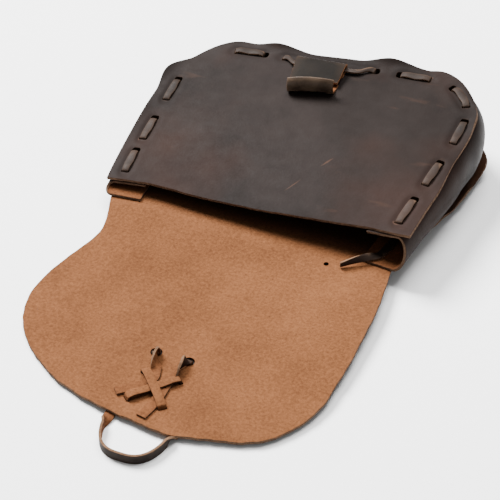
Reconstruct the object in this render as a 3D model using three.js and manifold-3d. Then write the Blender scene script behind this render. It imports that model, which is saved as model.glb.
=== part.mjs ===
// Medieval belt pouch in thick oiled leather, lying open on its back with the flap laid out.
// Millimetres, +Z up, +Y from the mouth towards the base, X across the pouch.
import * as THREE from 'three';
import * as BufferGeometryUtils from 'three/addons/utils/BufferGeometryUtils.js';
import Module from 'manifold-3d';

const wasm = await Module();
wasm.setup();

// Leather and clearances
const PANEL_WALL = 1.8;
const GUSSET_WALL = 1.6;
const CLEARANCE = 0.3;

// Seam line in plan, from the left mouth corner round the base to the right mouth corner
const SEAM_HALF_WIDTH = 90;
const SEAM_DEPTH = 124;
const CORNER_RADIUS = 32;
const MOUTH_TAPER = 6.5;
const MOUTH_SHIFT = 3;
const BASE_SKEW = 4;

// Heights of the front panel's middle plane above the surface
const MOUTH_HEIGHT = 23.5;
const BASE_HEIGHT = 41;
const MOUTH_TILT = 7.5;
const BASE_TILT = 5.5;
const FRONT_DOME = 4;
const MOUTH_SAG = 2.5;

// Margins outside the seam line and their ruffles
const FRONT_MARGIN = 10;
const FRONT_RUFFLE = 3.2;
const BACK_MARGIN = 11;
const BACK_RUFFLE = 3.4;

// Gusset strip
const FLANGE_WIDTH = 15;
const WEB_START = 3.5;
const WEB_BULGE = 8;
const MOUTH_OVERHANG = 7;
const OVERHANG_RUN = 26;

// Back sheet: back panel and flap
const BACK_HEIGHT = 8;
const FLAP_LENGTH = 165;
const FLAP_HALF_WIDTH = 92;
const FLAP_CURL = 8.4;

// Lacing thongs
const THONG_WIDTH = 4.5;
const THONG_WALL = 1.2;
const THONG_BEND = 0.9;
const SLOT_PLAY = 0.45;
const SLOT_LENGTH = 2.6;
const LACE_END = 5;
const BACK_LACE_INSET = 5;
const LACE_TAIL_LENGTH = 30;

// Closure tab on the front panel's base
const TAB_WALL = 1.6;
const TAB_WIDTH = 32;
const TAB_CENTRE = -8;
const TAB_LENGTH = 21;
const TAB_HOOK_HEIGHT = 9;
const TAB_HOOK_BEND = 2.6;
const TAB_PULL = 4.5;

// Closure loop at the flap's tip and the cross tie over its ends
const LOOP_WIDTH = 5.6;
const LOOP_WALL = 1.4;
const LOOP_REACH = 24;
const LOOP_START = 4;
const LOOP_HALF_WIDTH = 18.5;
const LOOP_CENTRE = 4;
const LOOP_LANE = 16.5;
const HOLE_DIAMETER = 6.6;
const HOLE_SPACING = 19;
const HOLE_OFFSET = -1.5;
const HOLE_FROM_MOUTH = 113;
const TIE_WIDTH = 4.6;
const TIE_WALL = 1.2;
const TIE_SPREAD = 20;
const TIE_RUN = 22;
const TIE_FROM_MOUTH = 140;
const TIE_END = 7;

// Belt straps on the back, and the small punched hole in the flap near the mouth
const BELT_STRAP_WIDTH = 28;
const BELT_STRAP_WALL = 1.8;
const BELT_STRAP_SPAN = 64;
const BELT_STRAP_SPACING = 92;
const BELT_STRAP_PLACE = 60;
const BELT_STRAP_END = 14;
const BELT_STRAP_BEND = 1.5;
const VENT_DIAMETER = 3;
const VENT_ACROSS = 48;
const VENT_FROM_MOUTH = 15;

// Colours from the leather: grain side, raw side and thong
const GRAIN = new THREE.Color(0x4d413b);
const FLESH = new THREE.Color(0xbc8a66);
const THONG = new THREE.Color(0x4a3a33);
const DYED = new THREE.Color(0x55443a);

// Stitches of the front lace that lie on the outside, in shares of the seam's length.
const FRONT_STITCHES = [
  { from: 0.018, to: 0.062 },
  { from: 0.092, to: 0.136 },
  { from: 0.182, to: 0.226 },
  { from: 0.337, to: 0.382 },
  { from: 0.415, to: 0.560 },
  { from: 0.602, to: 0.646 },
  { from: 0.690, to: 0.734 },
  { from: 0.768, to: 0.812 },
  { from: 0.858, to: 0.902 },
  { from: 0.936, to: 0.980 },
];

// Stitches of the back lace that lie on the outside of the back panel, in the same shares.
const BACK_STITCHES = [
  { from: 0.040, to: 0.084 },
  { from: 0.126, to: 0.170 },
  { from: 0.212, to: 0.256 },
  { from: 0.298, to: 0.342 },
  { from: 0.384, to: 0.428 },
  { from: 0.470, to: 0.514 },
  { from: 0.556, to: 0.600 },
  { from: 0.642, to: 0.686 },
  { from: 0.728, to: 0.772 },
  { from: 0.814, to: 0.858 },
  { from: 0.905, to: 0.955 },
];

// Flap sections from the mouth to the tip: along as a share of the flap's length, left and right
// as shares of its half width, and heights as shares of its curl above the surface.
const FLAP_SECTIONS = [
  { along: 0.00, left: 1.02, right: 0.93, zLeft: 0.85, zMid: 0.85, zRight: 0.85 },
  { along: 0.23, left: 0.91, right: 0.95, zLeft: 0.35, zMid: 0.60, zRight: 0.95 },
  { along: 0.38, left: 1.01, right: 0.96, zLeft: 0.10, zMid: 0.38, zRight: 0.90 },
  { along: 0.53, left: 1.06, right: 0.96, zLeft: 0.05, zMid: 0.26, zRight: 0.75 },
  { along: 0.62, left: 1.04, right: 0.95, zLeft: 0.05, zMid: 0.25, zRight: 0.58 },
  { along: 0.72, left: 0.965, right: 0.935, zLeft: 0.05, zMid: 0.26, zRight: 0.40 },
  { along: 0.82, left: 0.82, right: 0.87, zLeft: 0.05, zMid: 0.27, zRight: 0.22 },
  { along: 0.90, left: 0.615, right: 0.76, zLeft: 0.05, zMid: 0.27, zRight: 0.12 },
  { along: 0.96, left: 0.37, right: 0.60, zLeft: 0.05, zMid: 0.27, zRight: 0.08 },
  { along: 1.00, left: 0.00, right: 0.30, zLeft: 0.05, zMid: 0.27, zRight: 0.08 },
];

// Ruffled margins along the seam: reach as a share of the margin, lift as a share of the ruffle.
const FRONT_EDGE = [
  { at: 0.00, reach: 0.88, lift: 0.0 },
  { at: 0.16, reach: 0.98, lift: 0.2 },
  { at: 0.20, reach: 0.96, lift: -0.1 },
  { at: 0.24, reach: 1.15, lift: 0.6 },
  { at: 0.28, reach: 0.55, lift: -0.15 },
  { at: 0.34, reach: 0.80, lift: 0.3 },
  { at: 0.36, reach: 0.80, lift: 0.1 },
  { at: 0.40, reach: 0.92, lift: 1.0 },
  { at: 0.46, reach: 0.75, lift: -0.3 },
  { at: 0.53, reach: 0.75, lift: 0.0 },
  { at: 0.58, reach: 1.00, lift: 1.1 },
  { at: 0.64, reach: 0.80, lift: -0.2 },
  { at: 0.66, reach: 0.85, lift: 0.25 },
  { at: 0.72, reach: 0.55, lift: -0.2 },
  { at: 0.76, reach: 0.66, lift: 0.4 },
  { at: 0.80, reach: 0.75, lift: 0.1 },
  { at: 0.84, reach: 0.70, lift: -0.1 },
  { at: 0.92, reach: 1.00, lift: 0.1 },
  { at: 1.00, reach: 1.08, lift: 0.0 },
];
const BACK_EDGE = [
  { at: 0.00, reach: 0.45, lift: 0.0 },
  { at: 0.08, reach: 0.65, lift: 0.0 },
  { at: 0.14, reach: 0.95, lift: -0.5 },
  { at: 0.20, reach: 0.95, lift: 0.3 },
  { at: 0.26, reach: 1.15, lift: -0.8 },
  { at: 0.30, reach: 1.25, lift: 0.4 },
  { at: 0.36, reach: 1.05, lift: -0.8 },
  { at: 0.42, reach: 0.95, lift: 0.3 },
  { at: 0.48, reach: 1.10, lift: -0.7 },
  { at: 0.54, reach: 0.95, lift: 0.3 },
  { at: 0.60, reach: 1.10, lift: -0.8 },
  { at: 0.66, reach: 1.00, lift: 0.3 },
  { at: 0.705, reach: 1.25, lift: -0.4 },
  { at: 0.745, reach: 1.35, lift: 0.6 },
  { at: 0.78, reach: 1.05, lift: -0.7 },
  { at: 0.815, reach: 1.05, lift: 0.3 },
  { at: 0.85, reach: 0.92, lift: -0.2 },
  { at: 0.88, reach: 0.72, lift: 0.0 },
  { at: 0.93, reach: 0.42, lift: 0.0 },
  { at: 1.00, reach: 0.20, lift: 0.0 },
];

// Bulge of the gusset's web along the seam, as shares of its full bulge.
const BULGE_ROWS = [
  { at: 0.00, bulge: 0.45 },
  { at: 0.12, bulge: 0.80 },
  { at: 0.30, bulge: 1.00 },
  { at: 0.85, bulge: 1.00 },
  { at: 1.00, bulge: 0.75 },
];

const clamp = THREE.MathUtils.clamp;
const lerp = THREE.MathUtils.lerp;

function smoothstep(edge0, edge1, value) {
  const t = clamp((value - edge0) / (edge1 - edge0), 0, 1);
  return t * t * (3 - 2 * t);
}

// Reads one named column of a table at a place along it, with smooth steps between the rows.
function readRows(rows, key, place, column) {
  let k = 0;
  while (k < rows.length - 2 && place > rows[k + 1][key]) {
    k += 1;
  }
  const low = rows[k];
  const high = rows[k + 1];
  return lerp(low[column], high[column], smoothstep(low[key], high[key], place));
}

// Same, but straight between the rows, for outlines.
function readLine(rows, key, place, column) {
  let k = 0;
  while (k < rows.length - 2 && place > rows[k + 1][key]) {
    k += 1;
  }
  const low = rows[k];
  const high = rows[k + 1];
  const share = clamp((place - low[key]) / (high[key] - low[key]), 0, 1);
  return lerp(low[column], high[column], share);
}

const SIDE_RUN = SEAM_DEPTH - CORNER_RADIUS;
const BASE_RUN = 2 * (SEAM_HALF_WIDTH - CORNER_RADIUS);
const CORNER_RUN = CORNER_RADIUS * Math.PI / 2;
const SEAM_LENGTH = 2 * SIDE_RUN + 2 * CORNER_RUN + BASE_RUN;

// A point of the seam line in plan: up the left side, round the base and down the right side.
function seamPoint(share) {
  const half = SEAM_LENGTH / 2;
  const fromBase = Math.abs(share * SEAM_LENGTH - half);
  const side = share < 0.5 ? -1 : 1;
  let x = 0;
  let y = 0;
  if (fromBase <= BASE_RUN / 2) {
    x = fromBase;
    y = SEAM_DEPTH;
  } else if (fromBase <= BASE_RUN / 2 + CORNER_RUN) {
    const angle = (fromBase - BASE_RUN / 2) / CORNER_RADIUS;
    x = BASE_RUN / 2 + CORNER_RADIUS * Math.sin(angle);
    y = SIDE_RUN + CORNER_RADIUS * Math.cos(angle);
  } else {
    x = SEAM_HALF_WIDTH;
    y = SIDE_RUN - (fromBase - BASE_RUN / 2 - CORNER_RUN);
  }
  const taper = MOUTH_TAPER * 2 * (1 - smoothstep(-SIDE_RUN, SIDE_RUN, y));
  const shift = MOUTH_SHIFT * (1 - smoothstep(0, SIDE_RUN, y));
  const inX = side * (x - taper * x / SEAM_HALF_WIDTH) - shift;
  return new THREE.Vector2(inX, y + BASE_SKEW * (inX / SEAM_HALF_WIDTH) * (y / SEAM_DEPTH));
}

function seamOutward(share) {
  const step = 0.002;
  const ahead = seamPoint(Math.min(share + step, 1));
  const behind = seamPoint(Math.max(share - step, 0));
  const along = ahead.sub(behind).normalize();
  return new THREE.Vector2(-along.y, along.x);
}

function seamOffset(share, outward) {
  return seamPoint(share).addScaledVector(seamOutward(share), outward);
}

// Height of the front panel's middle plane over a place in plan.
function frontHeight(x, y) {
  const along = clamp(y / SEAM_DEPTH, -0.1, 1.1);
  const across = clamp(x / SEAM_HALF_WIDTH, -1.15, 1.15);
  const crown = Math.max(0, 1 - across * across);
  const rise = lerp(MOUTH_HEIGHT, BASE_HEIGHT, Math.max(along, 0) ** 1.1);
  const dome = FRONT_DOME * crown * Math.sin(Math.PI * clamp(along, 0, 1)) ** 0.8;
  const sag = MOUTH_SAG * crown * (1 - smoothstep(0, 0.45, along));
  return rise + dome - sag + across * lerp(MOUTH_TILT, BASE_TILT, along);
}

// Height of the back sheet's middle plane: level under the pouch, falling away over the flap.
function backHeight(x, y) {
  if (y >= 0) {
    return BACK_HEIGHT;
  }
  const along = clamp(-y / FLAP_LENGTH, 0, 1);
  const left = readRows(FLAP_SECTIONS, 'along', along, 'zLeft');
  const middle = readRows(FLAP_SECTIONS, 'along', along, 'zMid');
  const right = readRows(FLAP_SECTIONS, 'along', along, 'zRight');
  const across = clamp(x / FLAP_HALF_WIDTH, -1.1, 1.1);
  const height = middle + across * (right - left) / 2 + across * across * ((right + left) / 2 - middle);
  const laid = PANEL_WALL / 2 + Math.max(0, height) * FLAP_CURL;
  return lerp(BACK_HEIGHT, laid, smoothstep(0, 0.12, along));
}

// Closed body with the wall given to a middle surface of rings and columns.
function thicken(grid, wall, closedRound) {
  const rings = grid.length;
  const columns = grid[0].length;
  const normals = grid.map((ring, i) => ring.map((point, j) => {
    const left = closedRound ? ring[(j + columns - 1) % columns] : ring[Math.max(j - 1, 0)];
    const right = closedRound ? ring[(j + 1) % columns] : ring[Math.min(j + 1, columns - 1)];
    const inner = grid[Math.max(i - 1, 0)][j];
    const outer = grid[Math.min(i + 1, rings - 1)][j];
    const around = right.clone().sub(left);
    const radial = outer.clone().sub(inner);
    return radial.cross(around).normalize();
  }));
  const positions = [];
  const index = [];
  const at = (side, i, j) => (side * rings + i) * columns + (j % columns);
  for (const side of [0, 1]) {
    grid.forEach((ring, i) => ring.forEach((point, j) => {
      const moved = point.clone().addScaledVector(normals[i][j], (side - 0.5) * wall);
      positions.push(moved.x, moved.y, moved.z);
    }));
  }
  const quad = (a, b, c, d) => index.push(a, b, c, a, c, d);
  const lastColumn = closedRound ? columns : columns - 1;
  for (let i = 0; i < rings - 1; i += 1) {
    for (let j = 0; j < lastColumn; j += 1) {
      quad(at(1, i, j), at(1, i + 1, j), at(1, i + 1, j + 1), at(1, i, j + 1));
      quad(at(0, i, j), at(0, i, j + 1), at(0, i + 1, j + 1), at(0, i + 1, j));
    }
  }
  for (let j = 0; j < lastColumn; j += 1) {
    quad(at(1, rings - 1, j), at(0, rings - 1, j), at(0, rings - 1, j + 1), at(1, rings - 1, j + 1));
    if (!closedRound) {
      quad(at(0, 0, j), at(1, 0, j), at(1, 0, j + 1), at(0, 0, j + 1));
    }
  }
  if (!closedRound) {
    for (let i = 0; i < rings - 1; i += 1) {
      quad(at(0, i, 0), at(0, i + 1, 0), at(1, i + 1, 0), at(1, i, 0));
      const last = columns - 1;
      quad(at(1, i, last), at(1, i + 1, last), at(0, i + 1, last), at(0, i, last));
    }
  }
  return { positions, index };
}

function toGeometry(positions, index) {
  const geometry = new THREE.BufferGeometry();
  geometry.setAttribute('position', new THREE.Float32BufferAttribute(positions, 3));
  geometry.setIndex(index);
  return BufferGeometryUtils.mergeVertices(geometry, 1e-4);
}

function toSolid(geometry) {
  const bare = geometry.clone();
  bare.deleteAttribute('normal');
  bare.deleteAttribute('uv');
  const merged = BufferGeometryUtils.mergeVertices(bare, 1e-4);
  const kept = [];
  const index = merged.index.array;
  for (let k = 0; k < index.length; k += 3) {
    const [a, b, c] = [index[k], index[k + 1], index[k + 2]];
    if (a !== b && b !== c && c !== a) {
      kept.push(a, b, c);
    }
  }
  return new wasm.Manifold(new wasm.Mesh({
    numProp: 3,
    vertProperties: new Float32Array(merged.attributes.position.array),
    triVerts: new Uint32Array(kept),
  }));
}

function fromSolid(solid) {
  const mesh = solid.getMesh();
  return toGeometry(Array.from(mesh.vertProperties), Array.from(mesh.triVerts));
}

// Cuts upright slots and holes through a sheet.
function cutThrough(geometry, cutters) {
  let solid = toSolid(geometry);
  for (const cutter of cutters) {
    solid = solid.subtract(toSolid(cutter));
  }
  return fromSolid(solid);
}

// An upright slot: long is its length along the heading, wide its length across.
function slotCutter(place, heading, long, wide, low, high) {
  const box = new THREE.BoxGeometry(long, wide, high - low);
  box.rotateZ(heading);
  box.translate(place.x, place.y, (low + high) / 2);
  return box;
}

function holeCutter(place, diameter, low, high) {
  const hole = new THREE.CylinderGeometry(diameter / 2, diameter / 2, high - low, 12);
  hole.rotateX(Math.PI / 2);
  hole.translate(place.x, place.y, (low + high) / 2);
  return hole;
}

// A flat band along a route of points, each with its own width direction and width.
function band(route, wall) {
  const positions = [];
  const index = [];
  const count = route.length;
  let lastSide = null;
  route.forEach((stop, k) => {
    const ahead = route[Math.min(k + 1, count - 1)].point;
    const behind = route[Math.max(k - 1, 0)].point;
    const along = ahead.clone().sub(behind).normalize();
    const side = stop.side.clone();
    if (lastSide && side.dot(lastSide) < 0) {
      side.negate();
    }
    lastSide = side.clone();
    side.addScaledVector(along, -side.dot(along)).normalize();
    const face = along.clone().cross(side).normalize();
    for (const [across, up] of [[-1, -1], [1, -1], [1, 1], [-1, 1]]) {
      const corner = stop.point.clone();
      corner.addScaledVector(side, across * stop.width / 2);
      corner.addScaledVector(face, up * wall / 2);
      positions.push(corner.x, corner.y, corner.z);
    }
  });
  for (let k = 0; k < count - 1; k += 1) {
    for (let c = 0; c < 4; c += 1) {
      const a = k * 4 + c;
      const b = k * 4 + (c + 1) % 4;
      index.push(a, b, b + 4, a, b + 4, a + 4);
    }
  }
  const end = (count - 1) * 4;
  index.push(0, 2, 1, 0, 3, 2, end, end + 1, end + 2, end, end + 2, end + 3);
  return toGeometry(positions, index);
}

// Points of a thong that dives through a sheet at a place: it arrives at one level, turns down or
// up through the slot, and leaves at the other level.
function dive(place, arrive, leave, fromLevel, toLevel, bend) {
  const turn = Math.sign(toLevel - fromLevel) * bend;
  const soft = bend * (1 - Math.SQRT1_2);
  const step = (heading, distance, level) => ({
    x: place.x + heading.x * distance,
    y: place.y + heading.y * distance,
    level,
    side: new THREE.Vector3(-heading.y, heading.x, 0),
  });
  return [
    step(arrive, -bend, fromLevel),
    step(arrive, -soft, fromLevel + turn * (1 - Math.SQRT1_2)),
    step(arrive, 0, fromLevel + turn),
    step(leave, 0, toLevel - turn),
    step(leave, soft, toLevel - turn * (1 - Math.SQRT1_2)),
    step(leave, bend, toLevel),
  ];
}

// One running-stitch lace along the seam. A stop is a place in plan with its level above the sheet
// and its width direction; ease gives what pulls a stretch of the lace aside and lifts it.
const LACE_SPACING = 8;

function laceStops(stitches, inset, overLevel, underLevel, ease) {
  const stops = [];
  const toShare = (length) => length / SEAM_LENGTH;
  const wayAt = (share) => {
    const outward = seamOutward(share);
    return new THREE.Vector2(outward.y, -outward.x);
  };
  const run = (from, to, level) => {
    const steps = Math.max(2, Math.round((to - from) * SEAM_LENGTH / LACE_SPACING));
    for (let k = 1; k < steps; k += 1) {
      const share = lerp(from, to, k / steps);
      const aside = level > 0 ? ease(share) : 0;
      const place = seamOffset(share, -inset - aside * TAB_PULL);
      const side = new THREE.Vector3(seamOutward(share).x, seamOutward(share).y, 0);
      stops.push({ x: place.x, y: place.y, level: level + aside * TAB_FOLD_LIFT, side });
    }
  };
  const pass = (share, from, to) => {
    const way = wayAt(share);
    stops.push(...dive(seamOffset(share, -inset), way, way, from, to, THONG_BEND));
  };
  const bend = toShare(THONG_BEND);
  run(stitches[0].from - toShare(LACE_END + LACE_SPACING / 2), stitches[0].from - bend, underLevel);
  stitches.forEach((stitch, k) => {
    pass(stitch.from, underLevel, overLevel);
    run(stitch.from + bend, stitch.to - bend, overLevel);
    pass(stitch.to, overLevel, underLevel);
    const next = k + 1 < stitches.length ? stitches[k + 1].from - bend : stitch.to + toShare(LACE_END);
    run(stitch.to + bend, next, underLevel);
  });
  return stops;
}

// Sets stops on the sheet whose height is given.
function onSheet(stops, height, width) {
  return stops.map((stop) => {
    const level = height(stop.x, stop.y);
    const rise = height(stop.x + stop.side.x, stop.y + stop.side.y) - level;
    return {
      point: new THREE.Vector3(stop.x, stop.y, level + stop.level),
      side: new THREE.Vector3(stop.side.x, stop.side.y, rise),
      width,
    };
  });
}

// Middle surface of the front panel: rings from the mouth's centre out to the ruffled edge.
const INNER_RINGS = [0.02, 0.4, 0.75];
const FLANGE_RINGS = [-1, 0];
const MARGIN_RINGS = [0.5, 1];
const SEAM_STEPS = 48;

function marginPoint(share, ring, panel) {
  const reach = panel.margin * readRows(panel.edge, 'at', share, 'reach');
  const lift = panel.ruffle * readRows(panel.edge, 'at', share, 'lift');
  const place = seamOffset(share, ring * reach);
  return new THREE.Vector3(place.x, place.y, panel.height(place.x, place.y) + lift * ring ** 3);
}

// Rings of one panel over the seam's run: inner rings, the flange's rings and the margin's rings.
function panelRings(panel) {
  const shares = Array.from({ length: SEAM_STEPS + 1 }, (_, k) => k / SEAM_STEPS);
  const onPanel = (place) => new THREE.Vector3(place.x, place.y, panel.height(place.x, place.y));
  const inner = INNER_RINGS.map((ring) => shares.map(
    (share) => onPanel(seamOffset(share, -FLANGE_WIDTH).multiplyScalar(ring))));
  const flange = FLANGE_RINGS.map((ring) => shares.map(
    (share) => onPanel(seamOffset(share, ring * FLANGE_WIDTH))));
  const outer = MARGIN_RINGS.map((ring) => shares.map((share) => marginPoint(share, ring, panel)));
  return [...inner, ...flange, ...outer];
}

const frontSheet = {
  height: frontHeight, margin: FRONT_MARGIN, ruffle: FRONT_RUFFLE, edge: FRONT_EDGE,
};
const backSheet = {
  height: backHeight, margin: BACK_MARGIN, ruffle: BACK_RUFFLE, edge: BACK_EDGE,
};

// Outline of the flap from the right mouth corner round the tip to the left mouth corner.
const FLAP_STEPS = 24;

function flapEdge(share) {
  const angle = share * Math.PI;
  const along = Math.sin(angle) ** 0.72;
  const side = Math.cos(angle) >= 0 ? 'right' : 'left';
  const sign = side === 'right' ? 1 : -1;
  const width = readLine(FLAP_SECTIONS, 'along', along, side) * FLAP_HALF_WIDTH;
  return new THREE.Vector2(sign * width, -along * FLAP_LENGTH);
}

// Size of the flap's rings that carry on the panel's rings.
const FLAP_RINGS = [0.02, 0.36, 0.68, 0.84, 0.93, 0.97, 1];

function backSurface() {
  const grid = panelRings(backSheet);
  grid.forEach((row, level) => {
    for (let k = 1; k < FLAP_STEPS; k += 1) {
      const place = flapEdge(k / FLAP_STEPS).multiplyScalar(FLAP_RINGS[level]);
      row.push(new THREE.Vector3(place.x, place.y, backHeight(place.x, place.y)));
    }
  });
  return grid;
}

// A surface whose rings go all the way round is closed at its centre by one point.
function closeCentre(grid, wall) {
  const body = thicken(grid, wall, true);
  const rings = grid.length;
  const columns = grid[0].length;
  const centre = new THREE.Vector3();
  grid[0].forEach((point) => centre.addScaledVector(point, 1 / columns));
  const top = body.positions.length / 3;
  body.positions.push(centre.x, centre.y, centre.z + wall / 2);
  body.positions.push(centre.x, centre.y, centre.z - wall / 2);
  for (let j = 0; j < columns; j += 1) {
    const next = (j + 1) % columns;
    body.index.push(top, rings * columns + j, rings * columns + next);
    body.index.push(top + 1, next, j);
  }
  return toGeometry(body.positions, body.index);
}

const FLANGE_DROP = PANEL_WALL / 2 + CLEARANCE + GUSSET_WALL / 2;
const OVER_PANEL = PANEL_WALL / 2 + CLEARANCE + THONG_WALL / 2;
const PAST_FLANGE = FLANGE_DROP + GUSSET_WALL / 2 + CLEARANCE + THONG_WALL / 2;
const WEB_STEPS = 5;

// Middle surface of the gusset: front flange, bulging web and back flange at each step.
function gussetSurface() {
  const grid = [];
  for (let k = 0; k <= SEAM_STEPS; k += 1) {
    const share = k / SEAM_STEPS;
    const place = (outward) => seamOffset(share, outward);
    const start = place(WEB_START);
    const top = frontHeight(start.x, start.y) - FLANGE_DROP;
    const bottom = backHeight(start.x, start.y) + FLANGE_DROP;
    const bulge = WEB_BULGE * readRows(BULGE_ROWS, 'at', share, 'bulge');
    const fromMouth = Math.min(share, 1 - share) * SEAM_LENGTH;
    const overhang = MOUTH_OVERHANG * (1 - smoothstep(0, OVERHANG_RUN, fromMouth));
    const column = [];
    const add = (outward, height) => {
      const spot = place(outward);
      const low = clamp((top - height) / (top - bottom), 0, 1);
      column.push(new THREE.Vector3(spot.x, spot.y - overhang * low, height));
    };
    for (const outward of [-FLANGE_WIDTH, 0]) {
      const spot = place(outward);
      add(outward, frontHeight(spot.x, spot.y) - FLANGE_DROP);
    }
    for (let w = 0; w <= WEB_STEPS; w += 1) {
      const angle = Math.PI * w / WEB_STEPS;
      const middle = (top + bottom) / 2;
      add(WEB_START + bulge * Math.sin(angle), middle + (top - bottom) / 2 * Math.cos(angle));
    }
    for (const outward of [0, -FLANGE_WIDTH]) {
      const spot = place(outward);
      add(outward, backHeight(spot.x, spot.y) + FLANGE_DROP);
    }
    grid.push(column);
  }
  return grid;
}

function slotsAlong(stitches, inset, height, low, high) {
  return stitches.flatMap((stitch) => [stitch.from, stitch.to]).map((share) => {
    const place = seamOffset(share, -inset);
    const outward = seamOutward(share);
    const heading = Math.atan2(-outward.x, outward.y);
    const level = height(place.x, place.y);
    const wide = THONG_WIDTH + 2 * SLOT_PLAY;
    return slotCutter(place, heading, SLOT_LENGTH, wide, level + low, level + high);
  });
}

const CUT_PAST = 0.6;
const frontSlots = slotsAlong(
  FRONT_STITCHES, 0, frontHeight, -FLANGE_DROP - GUSSET_WALL / 2 - CUT_PAST, PANEL_WALL / 2 + CUT_PAST);
const backSlots = slotsAlong(
  BACK_STITCHES, BACK_LACE_INSET, backHeight, -PANEL_WALL / 2 - CUT_PAST,
  FLANGE_DROP + GUSSET_WALL / 2 + CUT_PAST);

// Closure tab: a strip folded over the lace, laid down the panel and turned up into a hook.
const TAB_UNDER = PANEL_WALL / 2 + CLEARANCE + TAB_WALL / 2;
const TAB_FOLD_LIFT = TAB_WALL + CLEARANCE;
const TAB_OVER = TAB_UNDER + TAB_WALL + 2 * CLEARANCE + THONG_WALL;
const TAB_EASE_START = 4;
const TAB_EASE_END = 11;

// How far the tab pulls and lifts the lace at a place of the seam, from 0 to 1.
function tabEase(share) {
  const away = Math.abs((share - 0.5) * SEAM_LENGTH - TAB_CENTRE);
  return 1 - smoothstep(TAB_WIDTH / 2 + TAB_EASE_START, TAB_WIDTH / 2 + TAB_EASE_END, away);
}

// Profile of the tab: back along the panel from the lace and up from the panel's middle plane.
function tabProfile() {
  const wrap = (TAB_OVER - TAB_UNDER) / 2;
  const fold = THONG_WIDTH / 2 + CLEARANCE;
  const foot = -TAB_LENGTH + TAB_HOOK_BEND;
  const rest = TAB_UNDER + CLEARANCE;
  const profile = [
    { back: -TAB_LENGTH * 0.45, up: TAB_UNDER },
    { back: fold, up: TAB_UNDER },
    { back: fold + wrap * 0.8, up: TAB_UNDER + wrap * 0.4 },
    { back: fold + wrap, up: TAB_UNDER + wrap },
    { back: fold + wrap * 0.8, up: TAB_OVER - wrap * 0.4 },
    { back: fold, up: TAB_OVER },
    { back: -TAB_LENGTH * 0.2, up: TAB_OVER },
    { back: -TAB_LENGTH * 0.5, up: TAB_OVER - wrap * 0.4 },
    { back: foot, up: rest },
  ];
  for (const turn of [0.2, 0.45, 0.7, 0.95]) {
    const angle = -Math.PI / 2 - turn * Math.PI * 0.6;
    profile.push({
      back: foot + TAB_HOOK_BEND * Math.cos(angle),
      up: rest + TAB_HOOK_BEND * (1 + Math.sin(angle)),
    });
  }
  const knee = profile[profile.length - 1];
  for (const [back, up] of [[0.06, 0.3], [0.22, 0.6], [0.46, 0.82]]) {
    profile.push({ back: knee.back + back * TAB_HOOK_HEIGHT, up: knee.up + up * TAB_HOOK_HEIGHT });
  }
  return profile;
}

function tabRoute() {
  const laceY = seamPoint(0.5 + TAB_CENTRE / SEAM_LENGTH).y - TAB_PULL;
  const heightAt = (x, back) => frontHeight(x, laceY + back);
  const across = 10;
  const tilt = (heightAt(TAB_CENTRE + across, 0) - heightAt(TAB_CENTRE - across, 0)) / (2 * across);
  const base = heightAt(TAB_CENTRE, 0);
  const slope = (base - heightAt(TAB_CENTRE, -TAB_LENGTH)) / TAB_LENGTH;
  return tabProfile().map((stop) => ({
    point: new THREE.Vector3(TAB_CENTRE, laceY + stop.back, base + stop.up + stop.back * slope),
    side: new THREE.Vector3(1, 0, tilt).normalize(),
    width: TAB_WIDTH,
  }));
}

// Levels over and under the flap for the loop band and the cross tie, stacked with clearance.
const LOOP_LEVEL = PANEL_WALL / 2 + CLEARANCE + LOOP_WALL / 2;
const TIE_LEVEL = PANEL_WALL / 2 + CLEARANCE + TIE_WALL / 2;
const TIE_LOWER = LOOP_LEVEL + LOOP_WALL / 2 + CLEARANCE + TIE_WALL / 2;
const TIE_UPPER = TIE_LOWER + TIE_WALL + CLEARANCE;

const holes = [-1, 1].map((side) => new THREE.Vector2(
  side * HOLE_SPACING / 2 + HOLE_OFFSET, -HOLE_FROM_MOUTH));

function sideOf(way) {
  return new THREE.Vector3(-way.y, way.x, 0);
}

// Tails of the loop band on the flesh side, in shares of the cross tie's spread and run from its
// centre, from the cut end up to the hole.
const LOOP_TAILS = {
  left: [
    { across: -0.88, along: 0.42 },
    { across: -0.58, along: 0.18 },
    { across: -0.32, along: -0.04 },
    { across: -0.17, along: -0.28 },
    { across: -0.25, along: -0.62 },
  ],
  right: [
    { across: 0.14, along: 0.96 },
    { across: 0.25, along: 0.50 },
    { across: 0.27, along: 0.00 },
    { across: 0.25, along: -0.40 },
    { across: 0.26, along: -0.80 },
  ],
};

// One end of the loop band: its tail on the flesh side, the hole, and its lane under the flap.
function loopLeg(side, tail) {
  const hole = holes[side < 0 ? 0 : 1];
  const path = tail.map((row) => new THREE.Vector2(
    row.across * TIE_SPREAD, -TIE_FROM_MOUTH + -row.along * TIE_RUN));
  path.push(hole);
  const stops = tail.map((row, k) => {
    const way = path[k + 1].clone().sub(path[Math.max(k - 1, 0)]).normalize();
    return { x: path[k].x, y: path[k].y, level: LOOP_LEVEL, side: sideOf(way) };
  });
  const into = hole.clone().sub(path[tail.length - 1]).normalize();
  const out = new THREE.Vector2(side * LOOP_LANE - hole.x, -LOOP_LANE).normalize();
  stops.push(...dive(hole, into, out, LOOP_LEVEL, -LOOP_LEVEL, LOOP_WALL * 0.8));
  const lane = new THREE.Vector3(1, 0, 0);
  for (const along of [0.33, 0.55, 0.8]) {
    const y = lerp(hole.y, -FLAP_LENGTH, along);
    stops.push({ x: side * LOOP_LANE, y, level: -LOOP_LEVEL, side: lane });
  }
  return stops;
}
const LOOP_TURNS = 14;

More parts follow.
